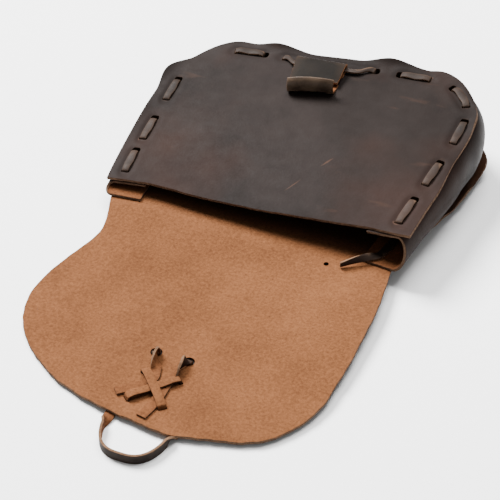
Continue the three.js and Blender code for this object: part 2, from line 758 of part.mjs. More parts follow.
function loopRoute() {
  const left = onSheet(loopLeg(-1, LOOP_TAILS.left), backHeight, LOOP_WIDTH);
  const right = onSheet(loopLeg(1, LOOP_TAILS.right), backHeight, LOOP_WIDTH);
  const bow = [];
  for (let k = 0; k <= LOOP_TURNS; k += 1) {
    const angle = Math.PI * k / LOOP_TURNS;
    const turn = smoothstep(0.3, 0.85, Math.sin(angle)) * Math.PI / 2;
    const across = Math.sign(Math.cos(angle)) * Math.abs(Math.cos(angle)) ** 0.7;
    const x = LOOP_CENTRE - LOOP_HALF_WIDTH * across;
    const y = -FLAP_LENGTH + LOOP_START - (LOOP_REACH + LOOP_START) * Math.sin(angle) ** 0.9;
    const rest = LOOP_WIDTH / 2 * Math.sin(turn) + LOOP_WALL / 2 * Math.cos(turn) + CLEARANCE / 2;
    const under = backHeight(x, Math.max(y, -FLAP_LENGTH)) - LOOP_LEVEL;
    bow.push({
      point: new THREE.Vector3(x, y, Math.max(rest, lerp(under, rest, Math.sin(turn)))),
      side: new THREE.Vector3(Math.cos(turn), 0, -Math.sin(turn)),
      width: LOOP_WIDTH,
    });
  }
  return [...left, ...bow, ...right.reverse()];
}

// Cross tie: over from the upper left slot to the lower right one, back under the flap, and over
// again from the upper right slot to the lower left one, below the first strand.
const tieCorner = (across, along) => new THREE.Vector2(
  across * TIE_SPREAD / 2, -TIE_FROM_MOUTH - along * TIE_RUN / 2);
const tieSlots = [tieCorner(-1, -1), tieCorner(1, 1), tieCorner(1, -1), tieCorner(-1, 1)];

const tieStrands = [
  { from: tieSlots[0], to: tieSlots[1], crown: TIE_UPPER },
  { from: tieSlots[2], to: tieSlots[3], crown: TIE_LOWER },
];

function tieRoute() {
  const stops = [];
  const end = (place, way) => {
    const spot = place.clone().addScaledVector(way, TIE_END);
    stops.push({ x: spot.x, y: spot.y, level: -TIE_LEVEL, side: sideOf(way) });
  };
  tieStrands.forEach((strand, k) => {
    const way = strand.to.clone().sub(strand.from).normalize();
    const back = way.clone().negate();
    if (k === 0) {
      end(strand.from, way);
    }
    stops.push(...dive(strand.from, back, way, -TIE_LEVEL, TIE_LOWER, THONG_BEND));
    for (const share of [0.34, 0.5, 0.66]) {
      const place = strand.from.clone().lerp(strand.to, share);
      stops.push({ x: place.x, y: place.y, level: strand.crown, side: sideOf(way) });
    }
    stops.push(...dive(strand.to, way, back, TIE_LOWER, -TIE_LEVEL, THONG_BEND));
    if (k === 0) {
      const middle = strand.to.clone().lerp(tieStrands[1].from, 0.5);
      stops.push({ x: middle.x - TIE_WIDTH, y: middle.y, level: -TIE_LEVEL, side: new THREE.Vector3(1, 0, 0) });
    } else {
      end(strand.to, back);
    }
  });
  return onSheet(stops, backHeight, TIE_WIDTH);
}

// Back lace: running stitch along the seam, then its tail inside the pouch, over the gusset's
// flange and out on to the flap. The tail's stops are shares of its length from the seam's end.
const LACE_TAIL = [
  { inward: 0.17, out: -0.18, drop: 0.0 },
  { inward: 0.22, out: 0.00, drop: 0.0 },
  { inward: 0.38, out: 0.20, drop: 0.0 },
  { inward: 0.62, out: 0.40, drop: 0.25 },
  { inward: 0.90, out: 0.64, drop: 0.90 },
];

function backLaceRoute() {
  const over = FLANGE_DROP + GUSSET_WALL / 2 + CLEARANCE + THONG_WALL / 2;
  const stops = laceStops(BACK_STITCHES, BACK_LACE_INSET, -OVER_PANEL, over, () => 0);
  const end = seamPoint(1);
  const places = LACE_TAIL.map((row) => new THREE.Vector2(
    end.x - row.inward * LACE_TAIL_LENGTH, end.y - row.out * LACE_TAIL_LENGTH));
  LACE_TAIL.forEach((row, k) => {
    const way = places[Math.min(k + 1, places.length - 1)].clone().sub(places[Math.max(k - 1, 0)]);
    const level = lerp(over, OVER_PANEL, row.drop);
    stops.push({ x: places[k].x, y: places[k].y, level, side: sideOf(way.normalize()) });
  });
  return onSheet(stops, backHeight, THONG_WIDTH);
}

// Belt strap: ends inside the pouch, through two slots, and a flattened bow on the outside.
const STRAP_INSIDE = PANEL_WALL / 2 + CLEARANCE + BELT_STRAP_WALL / 2;

function strapSlots(x) {
  return [-1, 1].map((side) => new THREE.Vector2(x, BELT_STRAP_PLACE + side * BELT_STRAP_SPAN / 2));
}

function strapRoute(x) {
  const [near, far] = strapSlots(x);
  const floor = BELT_STRAP_WALL / 2;
  const side = new THREE.Vector3(1, 0, 0);
  const half = [];
  const at = (back, z) => half.push({ back, z });
  at(-BELT_STRAP_END, BACK_HEIGHT + STRAP_INSIDE);
  at(-BELT_STRAP_BEND, BACK_HEIGHT + STRAP_INSIDE);
  at(-BELT_STRAP_BEND * 0.3, BACK_HEIGHT + STRAP_INSIDE - BELT_STRAP_BEND * 0.3);
  at(0, BACK_HEIGHT + STRAP_INSIDE - BELT_STRAP_BEND);
  at(0, BACK_HEIGHT - PANEL_WALL / 2 - CLEARANCE);
  for (const turn of [0.25, 0.5, 0.75, 1]) {
    const drop = BACK_HEIGHT - PANEL_WALL / 2 - CLEARANCE - floor;
    const angle = turn * Math.PI / 2;
    at(-drop * (1 - Math.cos(angle)), floor + drop * (1 - Math.sin(angle)));
  }
  const place = (end, sign) => half.map((stop) => ({
    point: new THREE.Vector3(x, end.y + sign * stop.back, stop.z),
    side,
    width: BELT_STRAP_WIDTH,
  }));
  return [...place(far, 1), ...place(near, -1).reverse()];
}

function piece(name, geometry, colour, roughness) {
  geometry.computeVertexNormals();
  const material = new THREE.MeshStandardMaterial({ color: colour, roughness, metalness: 0 });
  const mesh = new THREE.Mesh(geometry, material);
  mesh.name = name;
  return mesh;
}

const pouch = new THREE.Group();

const frontBody = thicken(panelRings(frontSheet), PANEL_WALL, false);
const frontPanel = cutThrough(toGeometry(frontBody.positions, frontBody.index), frontSlots);
pouch.add(piece('front_panel', frontPanel, GRAIN, 0.55));

const gussetBody = thicken(gussetSurface(), GUSSET_WALL, false);
const gusset = cutThrough(
  toGeometry(gussetBody.positions, gussetBody.index), [...frontSlots, ...backSlots]);
pouch.add(piece('gusset', gusset, GRAIN, 0.5));

const strapPlaces = [-BELT_STRAP_SPACING / 2, BELT_STRAP_SPACING / 2];
const backCutters = [...backSlots];
const cutFlap = (x, y, cutter) => {
  const level = backHeight(x, y);
  backCutters.push(cutter(level - PANEL_WALL / 2 - CUT_PAST, level + PANEL_WALL / 2 + CUT_PAST));
};
for (const hole of holes) {
  cutFlap(hole.x, hole.y, (low, high) => holeCutter(hole, HOLE_DIAMETER, low, high));
}
const vent = new THREE.Vector2(VENT_ACROSS, -VENT_FROM_MOUTH);
cutFlap(vent.x, vent.y, (low, high) => holeCutter(vent, VENT_DIAMETER, low, high));
for (const strand of tieStrands) {
  const heading = strand.to.clone().sub(strand.from).angle();
  const wide = TIE_WIDTH + 2 * SLOT_PLAY;
  for (const slot of [strand.from, strand.to]) {
    cutFlap(slot.x, slot.y, (low, high) => slotCutter(slot, heading, SLOT_LENGTH, wide, low, high));
  }
}
for (const x of strapPlaces) {
  for (const slot of strapSlots(x)) {
    const long = BELT_STRAP_WALL + 2 * SLOT_PLAY;
    const wide = BELT_STRAP_WIDTH + 2 * SLOT_PLAY;
    cutFlap(slot.x, slot.y, (low, high) => slotCutter(slot, Math.PI / 2, long, wide, low, high));
  }
}
const backFlap = cutThrough(closeCentre(backSurface(), PANEL_WALL), backCutters);
pouch.add(piece('back_flap', backFlap, FLESH, 0.85));

const frontStops = laceStops(FRONT_STITCHES, 0, OVER_PANEL, -PAST_FLANGE, tabEase);
const frontLace = band(onSheet(frontStops, frontHeight, THONG_WIDTH), THONG_WALL);
pouch.add(piece('front_lace', frontLace, THONG, 0.6));
pouch.add(piece('back_lace', band(backLaceRoute(), THONG_WALL), THONG, 0.6));
pouch.add(piece('closure_tab', band(tabRoute(), TAB_WALL), DYED, 0.5));
pouch.add(piece('closure_loop', band(loopRoute(), LOOP_WALL), THONG, 0.5));
pouch.add(piece('cross_tie', band(tieRoute(), TIE_WALL), FLESH, 0.85));
pouch.add(piece('belt_strap_left', band(strapRoute(strapPlaces[0]), BELT_STRAP_WALL), GRAIN, 0.55));
pouch.add(piece('belt_strap_right', band(strapRoute(strapPlaces[1]), BELT_STRAP_WALL), GRAIN, 0.55));

// The shared frame's origin is under the middle of the whole pouch, on the surface it lies on.
const bounds = new THREE.Box3().setFromObject(pouch);
const middle = bounds.getCenter(new THREE.Vector3());
for (const mesh of pouch.children) {
  mesh.geometry.translate(-middle.x, -middle.y, -bounds.min.z);
}

export default pouch;
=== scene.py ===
"""Medieval belt pouch in thick oiled leather, lying open on its back with its flap laid out.

Metres, in the frame of the solids: X across the pouch, Y from the flap's tip to the base, Z up.
"""

import math

import bmesh
import bpy
from mathutils import Matrix, Vector, noise


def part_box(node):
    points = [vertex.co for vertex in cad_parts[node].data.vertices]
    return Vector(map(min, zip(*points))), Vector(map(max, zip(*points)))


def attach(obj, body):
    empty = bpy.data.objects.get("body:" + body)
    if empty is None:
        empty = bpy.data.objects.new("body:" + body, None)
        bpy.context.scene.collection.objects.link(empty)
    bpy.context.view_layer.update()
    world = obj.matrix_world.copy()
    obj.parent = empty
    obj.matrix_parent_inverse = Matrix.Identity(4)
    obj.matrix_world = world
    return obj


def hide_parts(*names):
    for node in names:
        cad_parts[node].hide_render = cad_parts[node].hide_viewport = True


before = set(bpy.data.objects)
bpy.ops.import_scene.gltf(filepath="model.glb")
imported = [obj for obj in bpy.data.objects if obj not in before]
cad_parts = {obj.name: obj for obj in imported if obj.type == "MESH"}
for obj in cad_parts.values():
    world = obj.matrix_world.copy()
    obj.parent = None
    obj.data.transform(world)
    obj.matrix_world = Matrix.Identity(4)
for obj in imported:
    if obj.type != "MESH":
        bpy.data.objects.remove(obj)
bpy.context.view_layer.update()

# Front panel: one D-shaped piece of thick oiled cowhide, grain side out, its mouth edge cut
# straight. It is laced to the gusset all round, and the lacing gathers its base margin in ruffles.
PANEL_WALL = 0.0018
CLEARANCE = 0.0003
SEAM_HALF_WIDTH = 0.090
SEAM_DEPTH = 0.124
CORNER_RADIUS = 0.032
MOUTH_TAPER = 0.0065
MOUTH_SHIFT = 0.003
BASE_SKEW = 0.004
MOUTH_HEIGHT = 0.0235
BASE_HEIGHT = 0.041
MOUTH_TILT = 0.0075
BASE_TILT = 0.0055
FRONT_DOME = 0.004
MOUTH_SAG = 0.0025
FLANGE_WIDTH = 0.015
FRONT_MARGIN = 0.010
FRONT_RUFFLE = 0.0032
STRAP_PLACE = 0.060
THONG_WIDTH = 0.0045
THONG_WALL = 0.0012
THONG_BEND = 0.0009
SLOT_LENGTH = 0.0026
SLOT_PLAY = 0.0003

# Rows: at, a share of the seam; reach, a share of the margin; lift, a share of the ruffle.
FRONT_EDGE = [
    (0.00, 0.88, 0.0),
    (0.16, 0.98, 0.2),
    (0.20, 0.96, -0.1),
    (0.24, 1.15, 0.6),
    (0.28, 0.55, -0.15),
    (0.34, 0.80, 0.3),
    (0.36, 0.80, 0.1),
    (0.40, 0.92, 1.0),
    (0.46, 0.75, -0.3),
    (0.53, 0.75, 0.0),
    (0.58, 1.00, 1.1),
    (0.64, 0.80, -0.2),
    (0.66, 0.85, 0.25),
    (0.72, 0.55, -0.2),
    (0.76, 0.66, 0.4),
    (0.80, 0.75, 0.1),
    (0.84, 0.70, -0.1),
    (0.92, 1.00, 0.1),
    (1.00, 1.08, 0.0),
]

# Rows: from and to, shares of the seam between which the lace lies on the outside.
FRONT_STITCHES = [
    (0.018, 0.062),
    (0.092, 0.136),
    (0.182, 0.226),
    (0.337, 0.382),
    (0.415, 0.560),
    (0.602, 0.646),
    (0.690, 0.734),
    (0.768, 0.812),
    (0.858, 0.902),
    (0.936, 0.980),
]

SIDE_RUN = SEAM_DEPTH - CORNER_RADIUS
BASE_RUN = 2 * (SEAM_HALF_WIDTH - CORNER_RADIUS)
CORNER_RUN = CORNER_RADIUS * math.pi / 2
SEAM_LENGTH = 2 * SIDE_RUN + 2 * CORNER_RUN + BASE_RUN

# The sizes are laid out from the middle of the mouth; PLACE carries them into the shared frame.
left_strap_low, left_strap_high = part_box("belt_strap_left")
right_strap_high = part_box("belt_strap_right")[1]
PLACE = Vector((
    (left_strap_low.x + right_strap_high.x) / 2,
    (left_strap_low.y + left_strap_high.y) / 2 - STRAP_PLACE,
    0,
))


def clamp(value, low, high):
    return max(low, min(high, value))


def lerp(low, high, share):
    return low + (high - low) * share


def smooth_step(low, high, value):
    share = clamp((value - low) / (high - low), 0, 1)
    return share * share * (3 - 2 * share)


def read_rows(rows, place, step=smooth_step):
    """The columns of a table at a place along its first column."""
    k = 0
    while k < len(rows) - 2 and place > rows[k + 1][0]:
        k += 1
    low, high = rows[k], rows[k + 1]
    share = step(low[0], high[0], place)
    return [lerp(a, b, share) for a, b in zip(low[1:], high[1:])]


def seam_point(share):
    """A place on the seam line: up the left side, round the base, down the right side."""
    from_base = abs(share - 0.5) * SEAM_LENGTH
    side = -1 if share < 0.5 else 1
    if from_base <= BASE_RUN / 2:
        x, y = from_base, SEAM_DEPTH
    elif from_base <= BASE_RUN / 2 + CORNER_RUN:
        angle = (from_base - BASE_RUN / 2) / CORNER_RADIUS
        x = BASE_RUN / 2 + CORNER_RADIUS * math.sin(angle)
        y = SIDE_RUN + CORNER_RADIUS * math.cos(angle)
    else:
        x, y = SEAM_HALF_WIDTH, SIDE_RUN - (from_base - BASE_RUN / 2 - CORNER_RUN)
    taper = MOUTH_TAPER * 2 * (1 - smooth_step(-SIDE_RUN, SIDE_RUN, y))
    x = side * (x - taper * x / SEAM_HALF_WIDTH)
    x -= MOUTH_SHIFT * (1 - smooth_step(0, SIDE_RUN, y))
    return Vector((x, y + BASE_SKEW * (x / SEAM_HALF_WIDTH) * (y / SEAM_DEPTH)))


def seam_outward(share):
    step = 0.002
    along = (seam_point(min(share + step, 1)) - seam_point(max(share - step, 0))).normalized()
    return Vector((-along.y, along.x))


def seam_offset(share, outward):
    return seam_point(share) + seam_outward(share) * outward


HIDE_SWELL = (0.045, 0.0007)


def undulate(x, y, size, depth):
    """Slow unevenness of a hide: depth is its height over patches of the given size."""
    return depth * noise.noise(Vector((x / size, y / size, 0.37)))


def front_height(x, y):
    """Height of the front panel's middle plane."""
    along = clamp(y / SEAM_DEPTH, -0.1, 1.1)
    across = clamp(x / SEAM_HALF_WIDTH, -1.15, 1.15)
    crown = max(0, 1 - across * across)
    rise = lerp(MOUTH_HEIGHT, BASE_HEIGHT, max(along, 0) ** 1.1)
    dome = FRONT_DOME * crown * math.sin(math.pi * clamp(along, 0, 1)) ** 0.8
    sag = MOUTH_SAG * crown * (1 - smooth_step(0, 0.45, along))
    tilt = across * lerp(MOUTH_TILT, BASE_TILT, along)
    return rise + dome - sag + tilt + undulate(x, y, *HIDE_SWELL)


# Distances from a stitch: the leather is pressed down to the first pair, and its lip stands up
# from the second pair's start to the third pair's end.
PRESSED_NEAR = (0.0022, 0.0052)
LIP_RISE = (0.0030, 0.0055)
LIP_FALL = (0.0055, 0.0100)
LIP_SHARE = 0.4


def stitch_pull(place, stitches, inset):
    """How the leather is pressed down under a stitch and stands up round it, from -1 to 1."""
    pull = 0
    for start, end in stitches:
        low, high = seam_offset(start, -inset), seam_offset(end, -inset)
        run = high - low
        share = clamp((place - low).dot(run) / run.length_squared, 0, 1)
        away = (place - low - run * share).length
        pull -= 1 - smooth_step(*PRESSED_NEAR, away)
        pull += LIP_SHARE * smooth_step(*LIP_RISE, away) * (1 - smooth_step(*LIP_FALL, away))
    return pull


PRESSED = 0.0005
INNER_SHARE = 0.66
FLANGE_SHARE = 0.84


def sheet_place(share, ring, margin, edge):
    """Plan place, ruffle lift of a laced panel: ring runs from the mouth's middle to the rim."""
    if ring <= INNER_SHARE:
        return seam_offset(share, -FLANGE_WIDTH) * (ring / INNER_SHARE), 0
    if ring <= FLANGE_SHARE:
        inward = (FLANGE_SHARE - ring) / (FLANGE_SHARE - INNER_SHARE)
        return seam_offset(share, -FLANGE_WIDTH * inward), 0
    out = (ring - FLANGE_SHARE) / (1 - FLANGE_SHARE)
    reach, lift = read_rows(edge, share)
    return seam_offset(share, margin * reach * out), lift * out**3


RAGGED_FINE = (0.006, 0.00035)
RAGGED_SLOW = (0.03, 0.0006)
RAGGED_REACH = 0.01


def front_surface(share, ring):
    place, lift = sheet_place(share, ring, FRONT_MARGIN, FRONT_EDGE)
    height = front_height(place.x, place.y) + lift * FRONT_RUFFLE
    height += PRESSED * stitch_pull(place, FRONT_STITCHES, 0)
    ragged = undulate(place.x, 0, *RAGGED_FINE) + undulate(place.x, 1, *RAGGED_SLOW)
    y = place.y + ragged * (1 - smooth_step(0, RAGGED_REACH, place.y))
    return Vector((place.x, y, height))


RIM_ANGLE = math.radians(50)
CREASE_ANGLE = math.radians(48)
SHEET_RIM = 0.16


def give_wall(name, bm, wall, materials, rim):
    """Makes the middle surface in bm a piece of leather with a wall and softened cut edges."""
    mesh = bpy.data.meshes.new(name)
    bm.to_mesh(mesh)
    bm.free()
    for material in materials:
        mesh.materials.append(material)
    piece = bpy.data.objects.new(name, mesh)
    bpy.context.scene.collection.objects.link(piece)
    thick = piece.modifiers.new("wall", "SOLIDIFY")
    thick.thickness = wall
    thick.offset = 0
    thick.material_offset = 1
    thick.material_offset_rim = 2
    soften = piece.modifiers.new("rim", "BEVEL")
    soften.width = wall * rim
    soften.segments = 2
    soften.limit_method = "ANGLE"
    soften.angle_limit = RIM_ANGLE
    return piece


def lay_sheet(name, columns, rows, surface, wall, materials):
    """A sheet of leather: a grid laid on its middle surface and given its wall."""
    bm = bmesh.new()
    bmesh.ops.create_grid(bm, x_segments=columns, y_segments=rows, size=0.5)
    for vert in bm.verts:
        vert.co = surface(clamp(vert.co.x + 0.5, 0, 1), clamp(vert.co.y + 0.5, 0, 1)) + PLACE
    bmesh.ops.remove_doubles(bm, verts=bm.verts, dist=1e-6)
    return give_wall(name, bm, wall, materials, SHEET_RIM)


def settle(piece):
    """Makes the modified shape the piece's own mesh, with soft shading and crisp edges."""
    graph = bpy.context.evaluated_depsgraph_get()
    mesh = bpy.data.meshes.new_from_object(piece.evaluated_get(graph), depsgraph=graph)
    piece.modifiers.clear()
    piece.data = mesh
    mesh.shade_smooth()
    mesh.set_sharp_from_angle(angle=CREASE_ANGLE)
    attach(piece, "root")
    return piece


CUT_DEPTH = 0.007
SLOT_CORNER = 0.35


def add_slot(bm, place, heading, long, wide, height):
    """A cutter for one upright slot with rounded corners, added to the cutters in bm."""
    at = Matrix.Translation((*(place + PLACE.to_2d()), height(place.x, place.y)))
    size = Matrix.Diagonal((long, wide, CUT_DEPTH, 1))
    made = bmesh.ops.create_cube(bm, size=1, matrix=at @ Matrix.Rotation(heading, 4, "Z") @ size)
    upright = [e for e in {e for v in made["verts"] for e in v.link_edges}
               if abs((e.verts[0].co - e.verts[1].co).z) > CUT_DEPTH / 2]
    bmesh.ops.bevel(bm, geom=upright, offset=min(long, wide) * SLOT_CORNER,
                    offset_type="OFFSET", affect="EDGES", segments=3, profile=0.5, material=-1)


def cut_openings(piece, bm):
    """Cuts the openings in bm through the piece; their walls get its last material, a dark one
    painted as shade.
    """
    for face in bm.faces:
        face.material_index = len(piece.data.materials) - 1
    mesh = bpy.data.meshes.new("cutters")
    bm.to_mesh(mesh)
    bm.free()
    for material in piece.data.materials:
        mesh.materials.append(material)
    cutter = bpy.data.objects.new("cutters", mesh)
    bpy.context.scene.collection.objects.link(cutter)
    cut = piece.modifiers.new("openings", "BOOLEAN")
    cut.operation = "DIFFERENCE"
    cut.solver = "EXACT"
    cut.object = cutter
    settle(piece)
    bpy.data.objects.remove(cutter)
    return piece


SLOT_PULL = 0.0010


def add_stitch_slots(bm, stitches, inset, height):
    """The slots of a running stitch; the one nearer the base is drawn open by the thong's pull."""
    for stitch in stitches:
        for share, past in zip(stitch, (-1, 1)):
            outward = seam_outward(share)
            along = Vector((outward.y, -outward.x))
            upper = share == min(stitch, key=lambda end: abs(end - 0.5))
            pull = SLOT_PULL if upper else -SLOT_PULL / 4
            place = seam_offset(share, -inset) + along * (past * pull)
            add_slot(bm, place, math.atan2(along.y, along.x), SLOT_LENGTH + 2 * pull,
                     THONG_WIDTH + 2 * SLOT_PLAY, height)


def wire(tree, kind, settings=None, **links):
    """Adds a node, sets its fields and gives its inputs values or other nodes' outputs."""
    made = tree.nodes.new(kind)
    for field, value in (settings or {}).items():
        setattr(made, field, value)
    for name, value in links.items():
        slot = made.inputs[int(name[1:])] if name[0] == "i" and name[1:].isdigit() else None
        slot = slot or made.inputs[name.replace("_", " ")]
        if isinstance(value, bpy.types.NodeSocket):
            tree.links.new(value, slot)
        else:
            slot.default_value = value
    return made


def cloud(tree, where, scale, detail, rough):
    """Soft noise at a place, from 0 to 1."""
    return wire(tree, "ShaderNodeTexNoise", Vector=where, Scale=scale, Detail=detail,
                Roughness=rough).outputs["Fac"]


def ramp(tree, value, low, high, **reach):
    """The value's share of the way from low to high; reach may set other ends than 0 and 1."""
    return wire(tree, "ShaderNodeMapRange", Value=value, From_Min=low, From_Max=high,
                **reach).outputs["Result"]


def blend(tree, share, below, above):
    """A colour that goes from one to the other with the share."""
    return wire(tree, "ShaderNodeMix", {"data_type": "RGBA"}, i0=share, i6=below,
                i7=above).outputs[2]


def reckon(tree, operation, *values):
    return wire(tree, "ShaderNodeMath", {"operation": operation},
                **{f"i{k}": value for k, value in enumerate(values)}).outputs["Value"]


def start_group(name, inputs, outputs):
    """A shader node group with named sockets; inputs are (name, kind, value)."""
    group = bpy.data.node_groups.new(name, "ShaderNodeTree")
    for label, kind, value in inputs:
        socket = group.interface.new_socket(label, in_out="INPUT", socket_type=kind)
        socket.default_value = value
    for label, kind in outputs:
        group.interface.new_socket(label, in_out="OUTPUT", socket_type=kind)
    return group, group.nodes.new("NodeGroupInput"), group.nodes.new("NodeGroupOutput")


def hide_tones():
    """Pull-up leather's colour: two slow tones, a warm stain, fine scuffs."""
    group, given, out = start_group(
        "hide_tones",
        [("Dark", "NodeSocketColor", (0, 0, 0, 1)), ("Light", "NodeSocketColor", (1, 1, 1, 1)),
         ("Warm", "NodeSocketColor", (1, 0, 0, 1)), ("Scuff", "NodeSocketColor", (1, 1, 1, 1)),
         ("Patch", "NodeSocketFloat", 20.0)],
        [("Color", "NodeSocketColor")])
    where = wire(group, "ShaderNodeTexCoord").outputs["Object"]
    slow = cloud(group, where, given.outputs["Patch"], 5.0, 0.62)
    tone = ramp(group, slow, 0.36, 0.66)
    base = blend(group, tone, given.outputs["Dark"], given.outputs["Light"])
    away = wire(group, "ShaderNodeMapping", Vector=where, Location=(0.31, 0.12, 0.2))
    stain = cloud(group, away.outputs["Vector"], 14.0, 3.0, 0.5)
    warm = ramp(group, stain, 0.48, 0.75, To_Max=0.75)
    stained = blend(group, warm, base, given.outputs["Warm"])
    drawn = wire(group, "ShaderNodeMapping", Vector=where, Scale=(26, 90, 60), Rotation=(0, 0, 0.3))
    rubbed = cloud(group, drawn.outputs["Vector"], 1.0, 4.0, 0.6)
    scuff = ramp(group, rubbed, 0.64, 0.82, To_Max=0.4)
    recoloured = blend(group, scuff, stained, given.outputs["Scuff"])
    group.links.new(recoloured, out.inputs["Color"])
    return group


def grain_relief():
    """Fine pores and creases of a grain side as a height from 0 to 1."""
    group, given, out = start_group(
        "grain_relief",
        [("Pores", "NodeSocketFloat", 900.0), ("Creases", "NodeSocketFloat", 160.0)],
        [("Height", "NodeSocketFloat")])
    where = wire(group, "ShaderNodeTexCoord").outputs["Object"]
    pores = wire(group, "ShaderNodeTexVoronoi", Vector=where, Scale=given.outputs["Pores"])
    creases = cloud(group, where, given.outputs["Creases"], 6.0, 0.6)
    low = reckon(group, "MULTIPLY", pores.outputs["Distance"], 0.35)
    group.links.new(reckon(group, "ADD", low, creases), out.inputs["Height"])
    return group


HIDE_TONES = hide_tones()
GRAIN_RELIEF = grain_relief()


def grain_leather(name, dark, light, warm, scuff, patch, rough, shine_level):
    """Oiled grain side: dark, uneven in tone, softly shining, rubbed pale and given a painted
    highlight where it stands proud.
    """
    material = bpy.data.materials.new(name)
    material.use_nodes = True
    tree = material.node_tree
    shader = tree.nodes["Principled BSDF"]
    tones = tree.nodes.new("ShaderNodeGroup")
    tones.node_tree = HIDE_TONES
    for label, value in (("Dark", dark), ("Light", light), ("Warm", warm), ("Scuff", scuff)):
        tones.inputs[label].default_value = (*value, 1)
    tones.inputs["Patch"].default_value = patch
    relief = tree.nodes.new("ShaderNodeGroup")
    relief.node_tree = GRAIN_RELIEF
    bump = wire(tree, "ShaderNodeBump", Strength=0.35, Distance=0.0003,
                Height=relief.outputs["Height"])
    shine = ramp(tree, relief.outputs["Height"], 0.3, 0.9, To_Min=rough - 0.06, To_Max=rough + 0.08)
    # Where the surface stands proud, at rims, lips and ridges, the scuff colour is mixed in: partly
    # real rub wear, partly a painted highlight.
    pointed = wire(tree, "ShaderNodeNewGeometry").outputs["Pointiness"]
    proud = ramp(tree, pointed, 0.515, 0.60, To_Max=0.75)
    rubbed = blend(tree, proud, tones.outputs["Color"], (*scuff, 1))
    tree.links.new(rubbed, shader.inputs["Base Color"])
    tree.links.new(shine, shader.inputs["Roughness"])
    tree.links.new(bump.outputs["Normal"], shader.inputs["Normal"])
    shader.inputs["Specular IOR Level"].default_value = shine_level
    return material


def flesh_nap():
    """Split side's colour and height: slow tone, short fibres and small dark specks."""
    group, given, out = start_group(
        "flesh_nap",
        [("Deep", "NodeSocketColor", (0, 0, 0, 1)), ("Pale", "NodeSocketColor", (1, 1, 1, 1)),
         ("Speck", "NodeSocketColor", (0, 0, 0, 1))],
        [("Color", "NodeSocketColor"), ("Height", "NodeSocketFloat")])
    where = wire(group, "ShaderNodeTexCoord").outputs["Object"]
    slow = cloud(group, where, 26.0, 4.0, 0.6)
    fine = cloud(group, where, 640.0, 6.0, 0.75)
    mixed = reckon(group, "MULTIPLY_ADD", fine, 0.75, -0.03)
    tone = ramp(group, reckon(group, "MULTIPLY_ADD", slow, 0.33, mixed), 0.36, 0.66)
    base = blend(group, tone, given.outputs["Deep"], given.outputs["Pale"])
    cells = wire(group, "ShaderNodeTexVoronoi", Vector=where, Scale=210.0, Randomness=1.0)
    spot = ramp(group, cells.outputs["Distance"], 0.16, 0.06)
    some = ramp(group, cloud(group, where, 60.0, 3.0, 0.7), 0.52, 0.62, To_Max=0.6)
    speck = reckon(group, "MULTIPLY", spot, some)
    color = blend(group, speck, base, given.outputs["Speck"])
    group.links.new(color, out.inputs["Color"])
    group.links.new(fine, out.inputs["Height"])
    return group


FLESH_NAP = flesh_nap()


def flesh_leather(name, deep, pale, speck, relief):
    """Raw split side: a dull fibrous nap."""
    material = bpy.data.materials.new(name)
    material.use_nodes = True
    tree = material.node_tree
    shader = tree.nodes["Principled BSDF"]
    nap = tree.nodes.new("ShaderNodeGroup")
    nap.node_tree = FLESH_NAP
    for label, value in (("Deep", deep), ("Pale", pale), ("Speck", speck)):
        nap.inputs[label].default_value = (*value, 1)
    bump = wire(tree, "ShaderNodeBump", Strength=relief, Distance=0.0006,
                Height=nap.outputs["Height"])
    tree.links.new(nap.outputs["Color"], shader.inputs["Base Color"])
    tree.links.new(bump.outputs["Normal"], shader.inputs["Normal"])
    shader.inputs["Roughness"].default_value = 0.92
    shader.inputs["Specular IOR Level"].default_value = 0.06
    return material


OILED_DARK = (0.0076, 0.0055, 0.0048)
OILED_LIGHT = (0.0142, 0.0104, 0.0093)
OILED_WARM = (0.0205, 0.0102, 0.0075)
RUBBED_AND_HIGHLIGHT = (0.050, 0.026, 0.017)
oiled = grain_leather("oiled_grain", OILED_DARK, OILED_LIGHT, OILED_WARM, RUBBED_AND_HIGHLIGHT, 17.0, 0.58, 0.03)
lining = flesh_leather("flesh_side", (0.056, 0.0200, 0.0075), (0.130, 0.049, 0.0190),
                       (0.024, 0.009, 0.0035), 0.7)
cut_edge = flesh_leather("cut_edge", (0.030, 0.016, 0.0095), (0.120, 0.071, 0.044),
                         (0.014, 0.007, 0.004), 0.8)
# Slot and hole walls: a near-black brown, painted shade so that the openings look dark.
slot_wall_shade = flesh_leather("slot_wall_shade", (0.010, 0.0055, 0.0035), (0.034, 0.019, 0.011),
                          (0.005, 0.003, 0.002), 0.6)

FRONT_COLUMNS = 260
FRONT_ROWS = 76
front_panel = lay_sheet("front_leather", FRONT_COLUMNS, FRONT_ROWS, front_surface, PANEL_WALL,
                        [oiled, lining, cut_edge, slot_wall_shade])
front_cutters = bmesh.new()
add_stitch_slots(front_cutters, FRONT_STITCHES, 0, front_height)
cut_openings(front_panel, front_cutters)
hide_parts("front_panel")

# Back panel and flap: one long piece of the same hide, flesh side up. Its base is laced under the
# gusset with a ruffled margin, and the flap lies open in front of the mouth.
BACK_HEIGHT = 0.008
BACK_MARGIN = 0.011
BACK_RUFFLE = 0.0034
BACK_LACE_INSET = 0.005
FLAP_LENGTH = 0.165
FLAP_HALF_WIDTH = 0.092
FLAP_CURL = 0.0084
FLAP_STEPS = 24
FLAP_ROUND = 0.72
BACK_COLUMNS = 420
BACK_ROWS = 84

